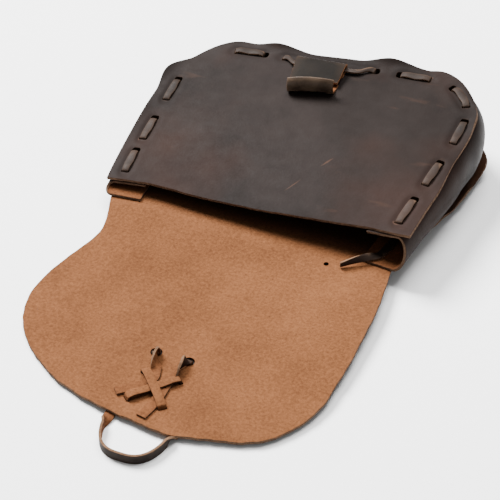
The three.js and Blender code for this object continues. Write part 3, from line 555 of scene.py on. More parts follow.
# Rows: along, a share of the flap's length; left and right, shares of its half width; heights at
# the left, middle and right, shares of its curl.
FLAP_SECTIONS = [
    (0.00, 1.02, 0.93, 0.85, 0.85, 0.85),
    (0.23, 0.91, 0.95, 0.35, 0.60, 0.95),
    (0.38, 1.01, 0.96, 0.10, 0.38, 0.90),
    (0.53, 1.06, 0.96, 0.05, 0.26, 0.75),
    (0.62, 1.04, 0.95, 0.05, 0.25, 0.58),
    (0.72, 0.965, 0.935, 0.05, 0.26, 0.40),
    (0.82, 0.82, 0.87, 0.05, 0.27, 0.22),
    (0.90, 0.615, 0.76, 0.05, 0.27, 0.12),
    (0.96, 0.37, 0.60, 0.05, 0.27, 0.08),
    (1.00, 0.00, 0.30, 0.05, 0.27, 0.08),
]

# Rows: at, a share of the seam; reach, a share of the margin; lift, a share of the ruffle.
BACK_EDGE = [
    (0.00, 0.45, 0.0),
    (0.08, 0.65, 0.0),
    (0.14, 0.95, -0.5),
    (0.20, 0.95, 0.3),
    (0.26, 1.15, -0.8),
    (0.30, 1.25, 0.4),
    (0.36, 1.05, -0.8),
    (0.42, 0.95, 0.3),
    (0.48, 1.10, -0.7),
    (0.54, 0.95, 0.3),
    (0.60, 1.10, -0.8),
    (0.66, 1.00, 0.3),
    (0.705, 1.25, -0.4),
    (0.745, 1.35, 0.6),
    (0.78, 1.05, -0.7),
    (0.815, 1.05, 0.3),
    (0.85, 0.92, -0.2),
    (0.88, 0.72, 0.0),
    (0.93, 0.42, 0.0),
    (1.00, 0.20, 0.0),
]

# Rows: from and to, shares of the seam between which the back lace lies on the outside.
BACK_STITCHES = [
    (0.040, 0.084),
    (0.126, 0.170),
    (0.212, 0.256),
    (0.298, 0.342),
    (0.384, 0.428),
    (0.470, 0.514),
    (0.556, 0.600),
    (0.642, 0.686),
    (0.728, 0.772),
    (0.814, 0.858),
    (0.905, 0.955),
]


def straight_step(low, high, value):
    return clamp((value - low) / (high - low), 0, 1)


def back_height(x, y):
    """Height of the back sheet's middle plane."""
    if y >= 0:
        return BACK_HEIGHT
    along = clamp(-y / FLAP_LENGTH, 0, 1)
    left, middle, right = read_rows(FLAP_SECTIONS, along)[2:]
    across = clamp(x / FLAP_HALF_WIDTH, -1.1, 1.1)
    height = middle + across * (right - left) / 2 + across * across * ((right + left) / 2 - middle)
    laid = PANEL_WALL / 2 + max(0, height) * FLAP_CURL
    return lerp(BACK_HEIGHT, laid, smooth_step(0, 0.12, along))


def through(values, at, place):
    """A smooth curve through values that stand at the places in at."""
    k = 0
    while k < len(at) - 2 and place > at[k + 1]:
        k += 1

    def slope(j):
        before, after = max(j - 1, 0), min(j + 1, len(at) - 1)
        if before == j or after == j:
            return (values[after] - values[before]) / (at[after] - at[before])
        left = (values[j] - values[before]) / (at[j] - at[before])
        right = (values[after] - values[j]) / (at[after] - at[j])
        weight = (at[j] - at[before]) / (at[after] - at[before])
        return left * (1 - weight) + right * weight

    run = at[k + 1] - at[k]
    t = clamp((place - at[k]) / run, 0, 1)
    return (values[k] * (2 * t**3 - 3 * t**2 + 1) + slope(k) * (run * (t**3 - 2 * t**2 + t))
            + values[k + 1] * (3 * t**2 - 2 * t**3) + slope(k + 1) * (run * (t**3 - t**2)))


def flap_outline():
    """Points of the flap's edge from the right mouth corner round the tip to the left one."""
    corners = [sheet_place(share, 1, BACK_MARGIN, BACK_EDGE)[0] for share in (1, 0)]
    points = [corners[0]]
    for k in range(1, FLAP_STEPS):
        angle = k * math.pi / FLAP_STEPS
        along = math.sin(angle) ** FLAP_ROUND
        left, right = read_rows(FLAP_SECTIONS, along, straight_step)[:2]
        width = FLAP_HALF_WIDTH * (right if 2 * k <= FLAP_STEPS else -left)
        points.append(Vector((width, -along * FLAP_LENGTH)))
    return points + [corners[1]]


def lengths_along(points):
    at = [0]
    for before, after in zip(points, points[1:]):
        at.append(at[-1] + (after - before).length)
    return at


FLAP_OUTLINE = flap_outline()
FLAP_AT = lengths_along(FLAP_OUTLINE)
SEAM_COLUMNS = 0.5
PANEL_RINGS = [
    (0, 0),
    (INNER_SHARE, (seam_point(1).x - FLANGE_WIDTH) / FLAP_OUTLINE[0].x),
    (FLANGE_SHARE, seam_point(1).x / FLAP_OUTLINE[0].x),
    (1, 1),
]


# Pairs of a size and a depth: how uneven the flap's cut edge is, and how its free leather swells.
EDGE_FINE = (0.005, 0.0035)
EDGE_SLOW = (0.02, 0.005)
FLAP_SWELL = (0.05, 0.0010)
FLAP_WRINKLE = (0.018, 0.0003)
FLAP_FREE = (0.006, 0.05)
CORNER_FADE = 40


def back_surface(column, ring):
    column %= 1
    if column <= SEAM_COLUMNS:
        place, lift = sheet_place(column / SEAM_COLUMNS, ring, BACK_MARGIN, BACK_EDGE)
        height = back_height(place.x, place.y) + lift * BACK_RUFFLE
        height -= PRESSED * stitch_pull(place, BACK_STITCHES, BACK_LACE_INSET)
        return Vector((*place, height))
    far = (column - SEAM_COLUMNS) / (1 - SEAM_COLUMNS)
    edge = through(FLAP_OUTLINE, FLAP_AT, far * FLAP_AT[-1])
    ragged = 1 + undulate(edge.x, edge.y, *EDGE_FINE) + undulate(edge.x, edge.y, *EDGE_SLOW)
    ragged = lerp(1, ragged, min(1, CORNER_FADE * min(far, 1 - far)))
    share = read_rows(PANEL_RINGS, ring, straight_step)[0]
    place = edge * share * lerp(1, ragged, share**4)
    free = smooth_step(*FLAP_FREE, -place.y)
    swell = undulate(place.x, place.y, *FLAP_SWELL) + undulate(place.x, place.y, *FLAP_WRINKLE)
    height = max(back_height(place.x, place.y) + free * swell, PANEL_WALL / 2)
    return Vector((*place, height))


HOLE_DIAMETER = 0.0066
HOLE_SPACING = 0.019
HOLE_OFFSET = -0.0015
HOLE_FROM_MOUTH = 0.113
TIE_WIDTH = 0.0046
TIE_WALL = 0.0012
TIE_SPREAD = 0.020
TIE_RUN = 0.022
TIE_FROM_MOUTH = 0.140
VENT_DIAMETER = 0.003
VENT_ACROSS = 0.048
VENT_FROM_MOUTH = 0.015
STRAP_WIDTH = 0.028
STRAP_WALL = 0.0018
STRAP_SPAN = 0.064
STRAP_SPACING = 0.092
# Painted shade on the flap's flesh side, past the mouth line: the Y span over which it comes in,
# how strong it is, and its dark brown.
SHADE_START = -0.008
SHADE_END = 0.014
SHADE_SHARE = 0.85
SHADE_COLOR = (0.0150, 0.0072, 0.0042, 1)
HOLE_SEGMENTS = 24

loop_holes = [Vector((side * HOLE_SPACING / 2 + HOLE_OFFSET, -HOLE_FROM_MOUTH)) for side in (-1, 1)]


def tie_corner(across, along):
    return Vector((across * TIE_SPREAD / 2, -TIE_FROM_MOUTH - along * TIE_RUN / 2))


tie_strands = [(tie_corner(-1, -1), tie_corner(1, 1)), (tie_corner(1, -1), tie_corner(-1, 1))]
strap_slots = [[Vector((x, STRAP_PLACE + side * STRAP_SPAN / 2)) for side in (-1, 1)]
               for x in (-STRAP_SPACING / 2, STRAP_SPACING / 2)]

# The flap's flesh side carries painted shade: a mask along Y blends its colour towards a dark brown
# inside the mouth and over the base margin, where the pouch shades it.
flap_top = flesh_leather("flap_flesh_side", (0.068, 0.0250, 0.0092), (0.150, 0.0590, 0.0235),
                         (0.026, 0.010, 0.004), 0.8)
flap_tree = flap_top.node_tree
flap_shader = flap_tree.nodes["Principled BSDF"]
unshaded_color = flap_shader.inputs["Base Color"].links[0].from_socket
place_axes = wire(flap_tree, "ShaderNodeSeparateXYZ",
                  Vector=wire(flap_tree, "ShaderNodeTexCoord").outputs["Object"])
painted_shade = wire(flap_tree, "ShaderNodeMapRange", {"interpolation_type": "SMOOTHSTEP"},
            Value=place_axes.outputs["Y"], From_Min=PLACE.y + SHADE_START,
            From_Max=PLACE.y + SHADE_END, To_Max=SHADE_SHARE)
shaded_color = blend(flap_tree, painted_shade.outputs["Result"], unshaded_color, SHADE_COLOR)
flap_tree.links.new(shaded_color, flap_shader.inputs["Base Color"])
back_flap = lay_sheet("back_and_flap_leather", BACK_COLUMNS, BACK_ROWS, back_surface, PANEL_WALL,
                      [flap_top, oiled, cut_edge, slot_wall_shade])
back_cutters = bmesh.new()
add_stitch_slots(back_cutters, BACK_STITCHES, BACK_LACE_INSET, back_height)
for place, diameter in [(hole, HOLE_DIAMETER) for hole in loop_holes] + [
        (Vector((VENT_ACROSS, -VENT_FROM_MOUTH)), VENT_DIAMETER)]:
    bmesh.ops.create_cone(
        back_cutters, cap_ends=True, segments=HOLE_SEGMENTS, radius1=diameter / 2,
        radius2=diameter / 2, depth=CUT_DEPTH,
        matrix=Matrix.Translation((*(place + PLACE.to_2d()), back_height(*place))))
for start, end in tie_strands:
    way = end - start
    for place in (start, end):
        add_slot(back_cutters, place, math.atan2(way.y, way.x), SLOT_LENGTH,
                 TIE_WIDTH + 2 * SLOT_PLAY, back_height)
for slots in strap_slots:
    for place in slots:
        add_slot(back_cutters, place, math.pi / 2, STRAP_WALL + 2 * SLOT_PLAY,
                 STRAP_WIDTH + 2 * SLOT_PLAY, back_height)
cut_openings(back_flap, back_cutters)
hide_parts("back_flap")

# Gusset: one wide strip of the hide bent round the sides and base, grain side out. Its two flanges
# turn inwards under the front panel and over the back panel, and its web bulges between them.
GUSSET_WALL = 0.0016
WEB_START = 0.0035
WEB_BULGE = 0.008
MOUTH_OVERHANG = 0.007
OVERHANG_RUN = 0.026
FLANGE_DROP = PANEL_WALL / 2 + CLEARANCE + GUSSET_WALL / 2
FRONT_FLANGE = 0.2
BACK_FLANGE = 0.8
WEB_CREASE = 0.12
WEB_CREASES = 26
GUSSET_COLUMNS = 300
GUSSET_ROWS = 64

# Rows: at, a share of the seam; bulge, a share of the web's full bulge.
BULGE_ROWS = [(0.00, 0.45), (0.12, 0.80), (0.30, 1.00), (0.85, 1.00), (1.00, 0.75)]


def gusset_surface(share, around):
    start = seam_offset(share, WEB_START)
    top = front_height(start.x, start.y) - FLANGE_DROP
    bottom = back_height(start.x, start.y) + FLANGE_DROP
    from_mouth = min(share, 1 - share) * SEAM_LENGTH
    if around <= FRONT_FLANGE:
        place = seam_offset(share, lerp(-FLANGE_WIDTH, WEB_START, around / FRONT_FLANGE))
        height = front_height(place.x, place.y) - FLANGE_DROP
        height += PRESSED * min(0, stitch_pull(place, FRONT_STITCHES, 0))
    elif around >= BACK_FLANGE:
        inward = (around - BACK_FLANGE) / (1 - BACK_FLANGE)
        place = seam_offset(share, lerp(WEB_START, -FLANGE_WIDTH, inward))
        height = back_height(place.x, place.y) + FLANGE_DROP
        height -= PRESSED * min(0, stitch_pull(place, BACK_STITCHES, BACK_LACE_INSET))
    else:
        angle = math.pi * (around - FRONT_FLANGE) / (BACK_FLANGE - FRONT_FLANGE)
        bulge = WEB_BULGE * read_rows(BULGE_ROWS, share)[0]
        fold = 1 + WEB_CREASE * noise.noise(Vector((share * WEB_CREASES, 0, angle * 0.4)))
        place = seam_offset(share, WEB_START + bulge * fold * math.sin(angle))
        height = (top + bottom) / 2 + (top - bottom) / 2 * math.cos(angle)
    low = clamp((top - height) / (top - bottom), 0, 1)
    overhang = MOUTH_OVERHANG * (1 - smooth_step(0, OVERHANG_RUN, from_mouth))
    return Vector((place.x, place.y - overhang * low, height))


glossy = grain_leather("gusset_grain", OILED_DARK, OILED_LIGHT, OILED_WARM, RUBBED_AND_HIGHLIGHT, 24.0, 0.44,
                       0.03)
gusset = lay_sheet("gusset_leather", GUSSET_COLUMNS, GUSSET_ROWS, gusset_surface, GUSSET_WALL,
                   [glossy, lining, cut_edge, slot_wall_shade])
gusset_cutters = bmesh.new()
add_stitch_slots(gusset_cutters, FRONT_STITCHES, 0, front_height)
add_stitch_slots(gusset_cutters, BACK_STITCHES, BACK_LACE_INSET, back_height)
cut_openings(gusset, gusset_cutters)
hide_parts("gusset")

# Lacing thongs: flat strips cut from the hide and run in and out through punched slots. The front
# one joins front panel and gusset, the back one gusset and back panel.
LACE_SPACING = 0.008
LACE_END = 0.005
LACE_TAIL_LENGTH = 0.030
TAB_WALL = 0.0016
TAB_WIDTH = 0.032
TAB_CENTRE = -0.008
TAB_PULL = 0.0065
TAB_LACE_WIDTH = 0.0028
TAB_EASE_START = 0.006
TAB_EASE_END = 0.013
OVER_PANEL = PANEL_WALL / 2 + CLEARANCE + THONG_WALL / 2
PAST_FLANGE = FLANGE_DROP + GUSSET_WALL / 2 + CLEARANCE + THONG_WALL / 2
BAND_ACROSS = 4
THONG_CROWN = 0.0003
FLAT_CROWN = 0.0002


def tab_ease(share):
    """How far the tab pulls and lifts the lace, from 0 to 1."""
    away = abs((share - 0.5) * SEAM_LENGTH - TAB_CENTRE)
    return 1 - smooth_step(TAB_WIDTH / 2 + TAB_EASE_START, TAB_WIDTH / 2 + TAB_EASE_END, away)


def dive(place, arrive, leave, from_level, to_level, bend):
    """Stops of a thong that turns through a slot from one level to the other."""
    turn = math.copysign(bend, to_level - from_level)
    soft = bend * (1 - math.sqrt(0.5))
    stops = []
    for way, distance, level in (
            (arrive, -bend, from_level), (arrive, -soft, from_level + turn * (1 - math.sqrt(0.5))),
            (arrive, 0, from_level + turn), (leave, 0, to_level - turn),
            (leave, soft, to_level - turn * (1 - math.sqrt(0.5))), (leave, bend, to_level)):
        stops.append((place + way * distance, level, Vector((-way.y, way.x)), None))
    return stops


DIVE_WIDTH = 0.0036


def lace_stops(stitches, inset, over, under, ease):
    """Stops of a running stitch: plan place, level above the sheet, width direction, width."""
    stops = []
    bend = THONG_BEND / SEAM_LENGTH

    def run(start, end, level):
        steps = max(2, round((end - start) * SEAM_LENGTH / LACE_SPACING))
        for k in range(1, steps):
            share = lerp(start, end, k / steps)
            aside = ease(share) if level > 0 else 0
            stops.append((seam_offset(share, -inset - aside * TAB_PULL),
                          level + aside * (TAB_WALL + CLEARANCE), seam_outward(share),
                          lerp(THONG_WIDTH, TAB_LACE_WIDTH, aside)))

    def turn(share, start, end):
        outward = seam_outward(share)
        way = Vector((outward.y, -outward.x))
        turned = dive(seam_offset(share, -inset), way, way, start, end, THONG_BEND)
        stops.extend((place, level, side, DIVE_WIDTH) for place, level, side, _ in turned)

    run(stitches[0][0] - (LACE_END + LACE_SPACING / 2) / SEAM_LENGTH, stitches[0][0] - bend, under)
    for k, (start, end) in enumerate(stitches):
        turn(start, under, over)
        run(start + bend, end - bend, over)
        turn(end, over, under)
        last = k + 1 == len(stitches)
        after = end + LACE_END / SEAM_LENGTH if last else stitches[k + 1][0] - bend
        run(end + bend, after, under)
    return stops


SLOPE_STEP = 0.001


def on_sheet(stops, height, width):
    """Sets stops on a sheet: point, width direction and width of a band."""
    laid = []
    for place, level, side, own_width in stops:
        ground = height(place.x, place.y)
        step = side.normalized() * SLOPE_STEP
        rise = (height(place.x + step.x, place.y + step.y) - ground) / SLOPE_STEP
        laid.append((Vector((*place, ground + level)), Vector((*side.normalized(), rise)),
                     own_width or width))
    return laid


def stay_flat(place, across):
    return Vector()


BAND_RIM = 0.22
BAND_STEP = 0.0014
ROUTE_STEP = 0.0002


def lay_band(name, stops, wall, materials, crown=0.0, swell=stay_flat):
    """A band of leather along its stops: a grid laid on the route and given its wall.

    crown is how far its edges lie below its middle, and swell moves it at a place along it.
    """
    points = [stop[0] for stop in stops]
    sides = [stops[0][1].normalized()]
    for stop in stops[1:]:
        side = stop[1].normalized()
        sides.append(-side if side.dot(sides[-1]) < 0 else side)
    at = lengths_along(points)
    places = [0]
    for before, after in zip(at, at[1:]):
        steps = max(3, math.ceil((after - before) / BAND_STEP))
        places += [lerp(before, after, (k + 1) / steps) for k in range(steps)]
    widths = [stop[2] for stop in stops]
    bm = bmesh.new()
    bmesh.ops.create_grid(bm, x_segments=len(places) - 1, y_segments=BAND_ACROSS, size=0.5)
    for vert in bm.verts:
        place = places[round((vert.co.x + 0.5) * (len(places) - 1))]
        across = vert.co.y
        point, side = through(points, at, place), through(sides, at, place).normalized()
        width = through(widths, at, place)
        ahead = through(points, at, min(place + ROUTE_STEP, at[-1]))
        behind = through(points, at, max(place - ROUTE_STEP, 0))
        face = (ahead - behind).cross(side).normalized()
        vert.co = point + side * (across * width) - face * (crown * 4 * across**2) + PLACE
        vert.co += swell(place, across)
    return settle(give_wall(name, bm, wall, materials, BAND_RIM))


worn_grain = grain_leather("thong_grain", (0.0105, 0.0073, 0.0058), (0.0210, 0.0146, 0.0115),
                           (0.0300, 0.0165, 0.0115), (0.060, 0.036, 0.023), 60.0, 0.55, 0.06)
thong_edge = flesh_leather("thong_edge", (0.050, 0.025, 0.013), (0.150, 0.086, 0.050),
                           (0.02, 0.010, 0.006), 0.5)
front_lace = lay_band(
    "front_lace_thong",
    on_sheet(lace_stops(FRONT_STITCHES, 0, OVER_PANEL - PRESSED, -PAST_FLANGE, tab_ease),
             front_height, THONG_WIDTH),
    THONG_WALL, [worn_grain, lining, thong_edge], THONG_CROWN)
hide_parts("front_lace")

# The back lace ends in a tail over the gusset's flange and out on to the flap. Rows: inward from
# the seam's end and out of the mouth, shares of the tail's length; drop, how far it has come down
# from the flange on to the flap.
LACE_TAIL = [
    (0.17, -0.18, 0.0),
    (0.22, 0.00, 0.0),
    (0.36, 0.15, 0.0),
    (0.56, 0.32, 0.45),
    (0.80, 0.52, 1.00),
]

# Rows: turn of the band in degrees and its share of the thong's width, at the last rows above.
TAIL_TWIST = [(35, 0.95), (72, 0.85), (98, 0.70)]


def back_lace_stops():
    over = FLANGE_DROP + GUSSET_WALL / 2 + CLEARANCE + THONG_WALL / 2
    stops = lace_stops(BACK_STITCHES, BACK_LACE_INSET, -OVER_PANEL, over, lambda share: 0)
    end = seam_point(1)
    places = [Vector((end.x - inward * LACE_TAIL_LENGTH, end.y - out * LACE_TAIL_LENGTH))
              for inward, out, drop in LACE_TAIL]
    for k, (inward, out, drop) in enumerate(LACE_TAIL):
        way = places[min(k + 1, len(places) - 1)] - places[max(k - 1, 0)]
        stops.append((places[k], lerp(over, OVER_PANEL, drop), Vector((-way.y, way.x)), None))
    laid = on_sheet(stops, back_height, THONG_WIDTH)
    for k, (angle, narrow) in zip((-3, -2, -1), TAIL_TWIST):
        turn = math.radians(angle)
        point, side, width = laid[k]
        width *= narrow
        side = side.normalized() * (math.cos(turn) * math.copysign(1, side.y))
        laid[k] = (point + Vector((0, 0, width / 2 * math.sin(turn))),
                   side + Vector((0, 0, math.sin(turn))), width)
    return laid


back_lace = lay_band("back_lace_thong", back_lace_stops(), THONG_WALL,
                     [worn_grain, lining, thong_edge], FLAT_CROWN)
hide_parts("back_lace")

# Closure tab: a short strip folded over the front lace at the base. Its lower leg is longer and
# its end is turned up into the hook that the flap's loop slips over.
TAB_LENGTH = 0.025
TAB_HOOK_HEIGHT = 0.009
TAB_HOOK_BEND = 0.0026
TAB_LEAF_WIDTH = 0.028
TAB_LEAN = 0.003
TAB_ASKEW = 0.2
TAB_LEAF_BOW = 0.0018
LEAF_BOW_WAY = (0, -0.35, 1)
LEAF_FACES_UP = 0.6
LEAF_DEPTH = 0.0078
TAB_LEAF_FROM = TAB_LENGTH * 1.66 + TAB_HOOK_BEND
TAB_UNDER = PANEL_WALL / 2 + CLEARANCE + TAB_WALL / 2
TAB_OVER = TAB_UNDER + TAB_WALL + 2 * CLEARANCE + THONG_WALL

# Rows: back from the bend's front and up, shares of the turned-up end's height.
TAB_LEAF = [(-0.03, 0.42), (-0.03, 0.65), (0.06, 0.87), (0.20, 1.00)]


def tab_profile():
    """Back along the panel from the lace, and up from the panel's middle plane."""
    wrap = (TAB_OVER - TAB_UNDER) / 2
    fold = TAB_LACE_WIDTH / 2 + CLEARANCE
    foot = -TAB_LENGTH + TAB_HOOK_BEND
    upper_leg = TAB_UNDER + TAB_WALL + CLEARANCE
    profile = [
        (-TAB_LENGTH * 0.66, upper_leg),
        (-TAB_LENGTH * 0.48, upper_leg),
        (-TAB_LENGTH * 0.24, TAB_OVER - wrap * 0.3),
        (-fold, TAB_OVER),
        (fold, TAB_OVER),
        (fold + wrap * 0.8, TAB_OVER - wrap * 0.4),
        (fold + wrap, TAB_UNDER + wrap),
        (fold + wrap * 0.8, TAB_UNDER + wrap * 0.4),
        (fold, TAB_UNDER),
        (foot, TAB_UNDER),
    ]
    for turn in (0.35, 0.7, 1):
        angle = (1 + turn) * math.pi / 2
        profile.append((foot + TAB_HOOK_BEND * math.cos(angle),
                        TAB_UNDER + TAB_HOOK_BEND * (1 - math.sin(angle))))
    for back, up in TAB_LEAF:
        profile.append((foot - TAB_HOOK_BEND + back * TAB_HOOK_HEIGHT,
                        TAB_UNDER + up * TAB_HOOK_HEIGHT))
    return profile


def tab_stops():
    lace_y = seam_point(0.5 + TAB_CENTRE / SEAM_LENGTH).y - TAB_PULL
    reach = 0.010
    base = front_height(TAB_CENTRE, lace_y)
    right, left = (front_height(TAB_CENTRE + step, lace_y) for step in (reach, -reach))
    tilt = (right - left) / (2 * reach)
    slope = (base - front_height(TAB_CENTRE, lace_y - TAB_LENGTH)) / TAB_LENGTH
    stops = []
    for back, up in tab_profile():
        share = clamp(-back / TAB_LENGTH, 0, 1)
        lean, askew = TAB_LEAN * share, TAB_ASKEW * share
        point = Vector((TAB_CENTRE + lean, lace_y + back, base + lean * tilt + back * slope + up))
        stops.append((point, Vector((1, askew, tilt + askew * slope)),
                      lerp(TAB_WIDTH, TAB_LEAF_WIDTH, share)))
    return stops


def leaf_swell(place, across):
    """The turned-up end bows outwards in its middle."""
    out = smooth_step(TAB_LEAF_FROM, TAB_LEAF_FROM + TAB_HOOK_HEIGHT, place)
    return Vector(LEAF_BOW_WAY) * (TAB_LEAF_BOW * out * (1 - 4 * across**2))


# Two copies of the tab's grain with painted light: a darker, duller one that is painted shade on
# the strip, and a lighter, shinier one that is a painted highlight on the turned-up end.
tab_shaded_grain = grain_leather("tab_shaded_grain", (0.0060, 0.0050, 0.0044), (0.0120, 0.0098, 0.0082),
                          (0.0140, 0.0092, 0.0066), (0.050, 0.031, 0.020), 40.0, 0.62, 0.02)
leaf_lit_grain = grain_leather("leaf_lit_grain", (0.0160, 0.0105, 0.0072), (0.0560, 0.0375, 0.0250),
                           (0.0500, 0.0310, 0.0185), (0.110, 0.068, 0.042), 110.0, 0.42, 0.10)
tab_edge = flesh_leather("tab_edge", (0.100, 0.040, 0.018), (0.230, 0.105, 0.050),
                         (0.035, 0.017, 0.009), 0.5)
closure_tab = lay_band("closure_tab_strip", tab_stops(), TAB_WALL, [lining, tab_shaded_grain, tab_edge],
                       swell=leaf_swell)
closure_tab.data.materials.append(leaf_lit_grain)
# The turned-up end's outer grain face and its top cut edge take the lighter copy, as painted
# highlight.
leaf_front = min(vert.co.y for vert in closure_tab.data.vertices) + LEAF_DEPTH
for face in closure_tab.data.polygons:
    upper_edge = face.material_index == 2 and face.normal.z > LEAF_FACES_UP
    recoloured = face.material_index == 1 or upper_edge
    if recoloured and face.center.y < leaf_front:
        face.material_index = 3
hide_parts("closure_tab")

# Closure loop: a thong whose ends come up through two holes in the flap and lie on its flesh side.
# Beyond the flap's tip it stands on edge in a bow that slips over the tab's hook.
LOOP_WIDTH = 0.0056
LOOP_WALL = 0.0014
LOOP_REACH = 0.024
LOOP_START = 0.004
LOOP_HALF_WIDTH = 0.0185
LOOP_CENTRE = 0.004
LOOP_LANE = 0.0165
LOOP_TURNS = 28
LOOP_UNDER_WIDTH = LOOP_WIDTH * 0.85
LOOP_LEVEL = PANEL_WALL / 2 + CLEARANCE + LOOP_WALL / 2

# Rows: across and along from the cross tie's centre, shares of its spread and run, from the cut
# end up to the hole.
LEFT_TAIL = [(-0.88, 0.42), (-0.58, 0.18), (-0.32, -0.04), (-0.17, -0.28), (-0.25, -0.62)]
RIGHT_TAIL = [(0.14, 0.96), (0.24, 0.50), (0.26, 0.10), (0.25, -0.22), (0.26, -0.40)]

# Rows: place, a share of the way from the tail's last row to the hole; turn of the band in degrees.
LOOP_TWIST = [(0.15, 24), (0.38, 58), (0.64, 84), (0.86, 122)]


def loop_leg(side, tail):
    """One end of the loop: its tail on the flesh side, the hole, its lane under the flap."""
    hole = loop_holes[0 if side < 0 else 1]
    path = [Vector((across * TIE_SPREAD, -TIE_FROM_MOUTH - along * TIE_RUN))
            for across, along in tail]
    path.append(hole)
    flat = []
    for k in range(len(tail)):
        way = (path[k + 1] - path[max(k - 1, 0)]).normalized()
        flat.append((path[k], LOOP_LEVEL, Vector((way.y, -way.x)), None))
    into = (hole - path[-2]).normalized()
    twist = []
    for share, angle in LOOP_TWIST:
        place = path[-2].lerp(hole, share)
        across, upright = math.cos(math.radians(angle)), math.sin(math.radians(angle))
        point = Vector((*place, back_height(*place) + LOOP_LEVEL + LOOP_WIDTH / 2 * upright))
        twist.append((point, Vector((into.y * across, -into.x * across, side * upright)),
                      LOOP_WIDTH))
    out = Vector((side * LOOP_LANE - hole.x, -LOOP_LANE)).normalized()
    under = [(place, level, way, LOOP_UNDER_WIDTH) for place, level, way, _ in
             dive(hole, into, out, LOOP_LEVEL, -LOOP_LEVEL, LOOP_WALL * 0.8)]
    bow_end = LOOP_CENTRE + side * LOOP_HALF_WIDTH
    for along in (0.30, 0.50, 0.68, 0.82):
        place = Vector((lerp(side * LOOP_LANE, bow_end, smooth_step(0.2, 1, along)),
                        lerp(hole.y, -FLAP_LENGTH, along)))
        under.append((place, -LOOP_LEVEL, Vector((1, 0)), None))
    return (on_sheet(flat, back_height, LOOP_WIDTH) + twist
            + on_sheet(under, back_height, LOOP_WIDTH))


def loop_stops():
    bow = []
    for k in range(LOOP_TURNS + 1):
        angle = math.pi * k / LOOP_TURNS
        turn = smooth_step(0.04, 0.36, math.sin(angle)) * math.pi / 2
        across = math.copysign(abs(math.cos(angle)) ** 0.7, math.cos(angle))
        x = LOOP_CENTRE - LOOP_HALF_WIDTH * across
        y = -FLAP_LENGTH + LOOP_START - (LOOP_REACH + LOOP_START) * math.sin(angle) ** 0.9
        rest = LOOP_WIDTH / 2 * math.sin(turn) + LOOP_WALL / 2 * math.cos(turn) + CLEARANCE / 2
        under = back_height(x, max(y, -FLAP_LENGTH)) - LOOP_LEVEL
        point = Vector((x, y, max(rest, lerp(under, rest, math.sin(turn)))))
        flat = math.cos(turn) if angle < math.pi / 2 else -math.cos(turn)
        bow.append((point, Vector((flat, 0, -math.sin(turn))), LOOP_WIDTH))
    return loop_leg(-1, LEFT_TAIL) + bow + loop_leg(1, RIGHT_TAIL)[::-1]


closure_loop = lay_band("closure_loop_thong", loop_stops(), LOOP_WALL,
                        [worn_grain, lining, thong_edge])
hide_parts("closure_loop")

# Cross tie: a narrower thong, flesh side up, laced in a cross over the loop's two ends to hold
# them, and returned under the flap.
TIE_END = 0.007
TIE_LEVEL = PANEL_WALL / 2 + CLEARANCE + TIE_WALL / 2
TIE_LOWER = LOOP_LEVEL + LOOP_WALL / 2 + CLEARANCE + TIE_WALL / 2
TIE_UPPER = TIE_LOWER + TIE_WALL + CLEARANCE


def tie_stops():
    stops = []

    def end(place, way):
        stops.append((place + way * TIE_END, -TIE_LEVEL, Vector((-way.y, way.x)), None))

    for k, (start, finish) in enumerate(tie_strands):
        way = (finish - start).normalized()
        if k == 0:
            end(start, way)
        stops.extend(dive(start, -way, way, -TIE_LEVEL, TIE_LOWER, THONG_BEND))
        crown = TIE_UPPER if k == 0 else TIE_LOWER
        for share in (0.34, 0.5, 0.66):
            stops.append((start.lerp(finish, share), crown, Vector((-way.y, way.x)), None))
        stops.extend(dive(finish, way, -way, TIE_LOWER, -TIE_LEVEL, THONG_BEND))
        if k == 0:
            middle = finish.lerp(tie_strands[1][0], 0.5) - Vector((TIE_WIDTH, 0))
            stops.append((middle, -TIE_LEVEL, Vector((1, 0)), None))
        else:
            end(finish, -way)
    return on_sheet(stops, back_height, TIE_WIDTH)


# The tie's cut edges are darker than the other thongs': partly their own dark edge, partly painted
# shade along the strands' sides.
tie_edge_and_shade = flesh_leather("tie_edge_and_shade", (0.022, 0.011, 0.006), (0.075, 0.038, 0.020),
                         (0.01, 0.005, 0.003), 0.5)
cross_tie = lay_band("cross_tie_thong", tie_stops(), TIE_WALL, [flap_top, worn_grain, tie_edge_and_shade],
                     FLAT_CROWN)
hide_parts("cross_tie")

# Belt straps: two plain strips on the back, each let in through a pair of slots with its ends
# inside the pouch, and bowed a little outside so that a belt passes through.
STRAP_END = 0.014
STRAP_BEND = 0.0015
STRAP_FLAT = (0.0012, 0.004, 0.010, 0.018)
STRAP_INSIDE = PANEL_WALL / 2 + CLEARANCE + STRAP_WALL / 2


def strap_stops(slots):
    near, far = slots
    floor = STRAP_WALL / 2
    drop = BACK_HEIGHT - PANEL_WALL / 2 - CLEARANCE - floor
    half = [
        (-STRAP_END, BACK_HEIGHT + STRAP_INSIDE),
        (-STRAP_BEND, BACK_HEIGHT + STRAP_INSIDE),
        (-STRAP_BEND * 0.3, BACK_HEIGHT + STRAP_INSIDE - STRAP_BEND * 0.3),
        (0, BACK_HEIGHT + STRAP_INSIDE - STRAP_BEND),
        (0, BACK_HEIGHT - PANEL_WALL / 2 - CLEARANCE),
    ]
    for turn in (0.25, 0.5, 0.75, 1):
        angle = turn * math.pi / 2
        half.append((-drop * (1 - math.cos(angle)), floor + drop * (1 - math.sin(angle))))
    half += [(-drop - run, floor) for run in STRAP_FLAT]

    def place(end, sign):
        return [(Vector((end.x, end.y + sign * back, z)), Vector((-1, 0, 0)), STRAP_WIDTH)
                for back, z in half]

    return place(far, 1) + place(near, -1)[::-1]


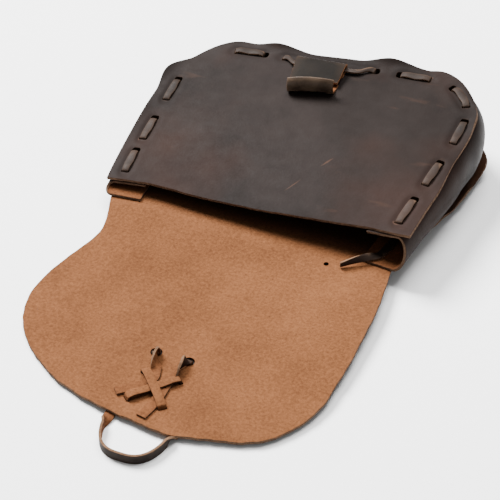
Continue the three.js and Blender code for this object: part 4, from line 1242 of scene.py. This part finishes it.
for name, slots in zip(("left", "right"), strap_slots):
    strap = lay_band(f"belt_strap_{name}_leather", strap_stops(slots), STRAP_WALL,
                     [oiled, lining, cut_edge])
    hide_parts(f"belt_strap_{name}")

# Floor, light and camera: a plain pale sweep, a large soft light from the upper left, and the
# camera at the angle that the pouch is seen from.
FLOOR_SIZE = 6.0
floor_grid = bmesh.new()
bmesh.ops.create_grid(floor_grid, x_segments=1, y_segments=1, size=FLOOR_SIZE / 2)
floor_mesh = bpy.data.meshes.new("floor")
floor_grid.to_mesh(floor_mesh)
floor_grid.free()
floor = bpy.data.objects.new("floor", floor_mesh)
bpy.context.scene.collection.objects.link(floor)
floor_paint = bpy.data.materials.new("pale_floor")
floor_paint.use_nodes = True
floor_shader = floor_paint.node_tree.nodes["Principled BSDF"]
floor_shader.inputs["Base Color"].default_value = (0.9, 0.9, 0.9, 1)
floor_shader.inputs["Roughness"].default_value = 0.9
floor_mesh.materials.append(floor_paint)


def add_light(name, place, size, power):
    light = bpy.data.lights.new(name, "AREA")
    light.shape = "DISK"
    light.size = size
    light.energy = power
    lamp = bpy.data.objects.new(name, light)
    lamp.location = place
    lamp.rotation_euler = (-Vector(place)).to_track_quat("-Z", "Y").to_euler()
    bpy.context.scene.collection.objects.link(lamp)


add_light("key", (-2.0, 1.1, 2.5), 1.6, 560)
add_light("top", (0.1, 0.7, 2.1), 1.4, 80)
world = bpy.data.worlds.new("studio")
world.use_nodes = True
world.node_tree.nodes["Background"].inputs["Color"].default_value = (1, 1, 1, 1)
world.node_tree.nodes["Background"].inputs["Strength"].default_value = 0.42
bpy.context.scene.world = world

CAMERA_AZIMUTH = math.radians(23)
CAMERA_ELEVATION = math.radians(40)
CAMERA_DISTANCE = 1.086
CAMERA_LENS = 136.8
SENSOR_WIDTH = 36
CAMERA_TARGET = PLACE + Vector((0, -0.011, 0))
back_way = Vector((
    math.sin(CAMERA_AZIMUTH) * math.cos(CAMERA_ELEVATION),
    -math.cos(CAMERA_AZIMUTH) * math.cos(CAMERA_ELEVATION),
    math.sin(CAMERA_ELEVATION),
))
camera_data = bpy.data.cameras.new("camera")
camera_data.lens = CAMERA_LENS
camera_data.sensor_width = SENSOR_WIDTH
camera = bpy.data.objects.new("camera", camera_data)
camera.location = CAMERA_TARGET + back_way * CAMERA_DISTANCE
camera.rotation_euler = (-back_way).to_track_quat("-Z", "Y").to_euler()
bpy.context.scene.collection.objects.link(camera)
bpy.context.scene.camera = camera
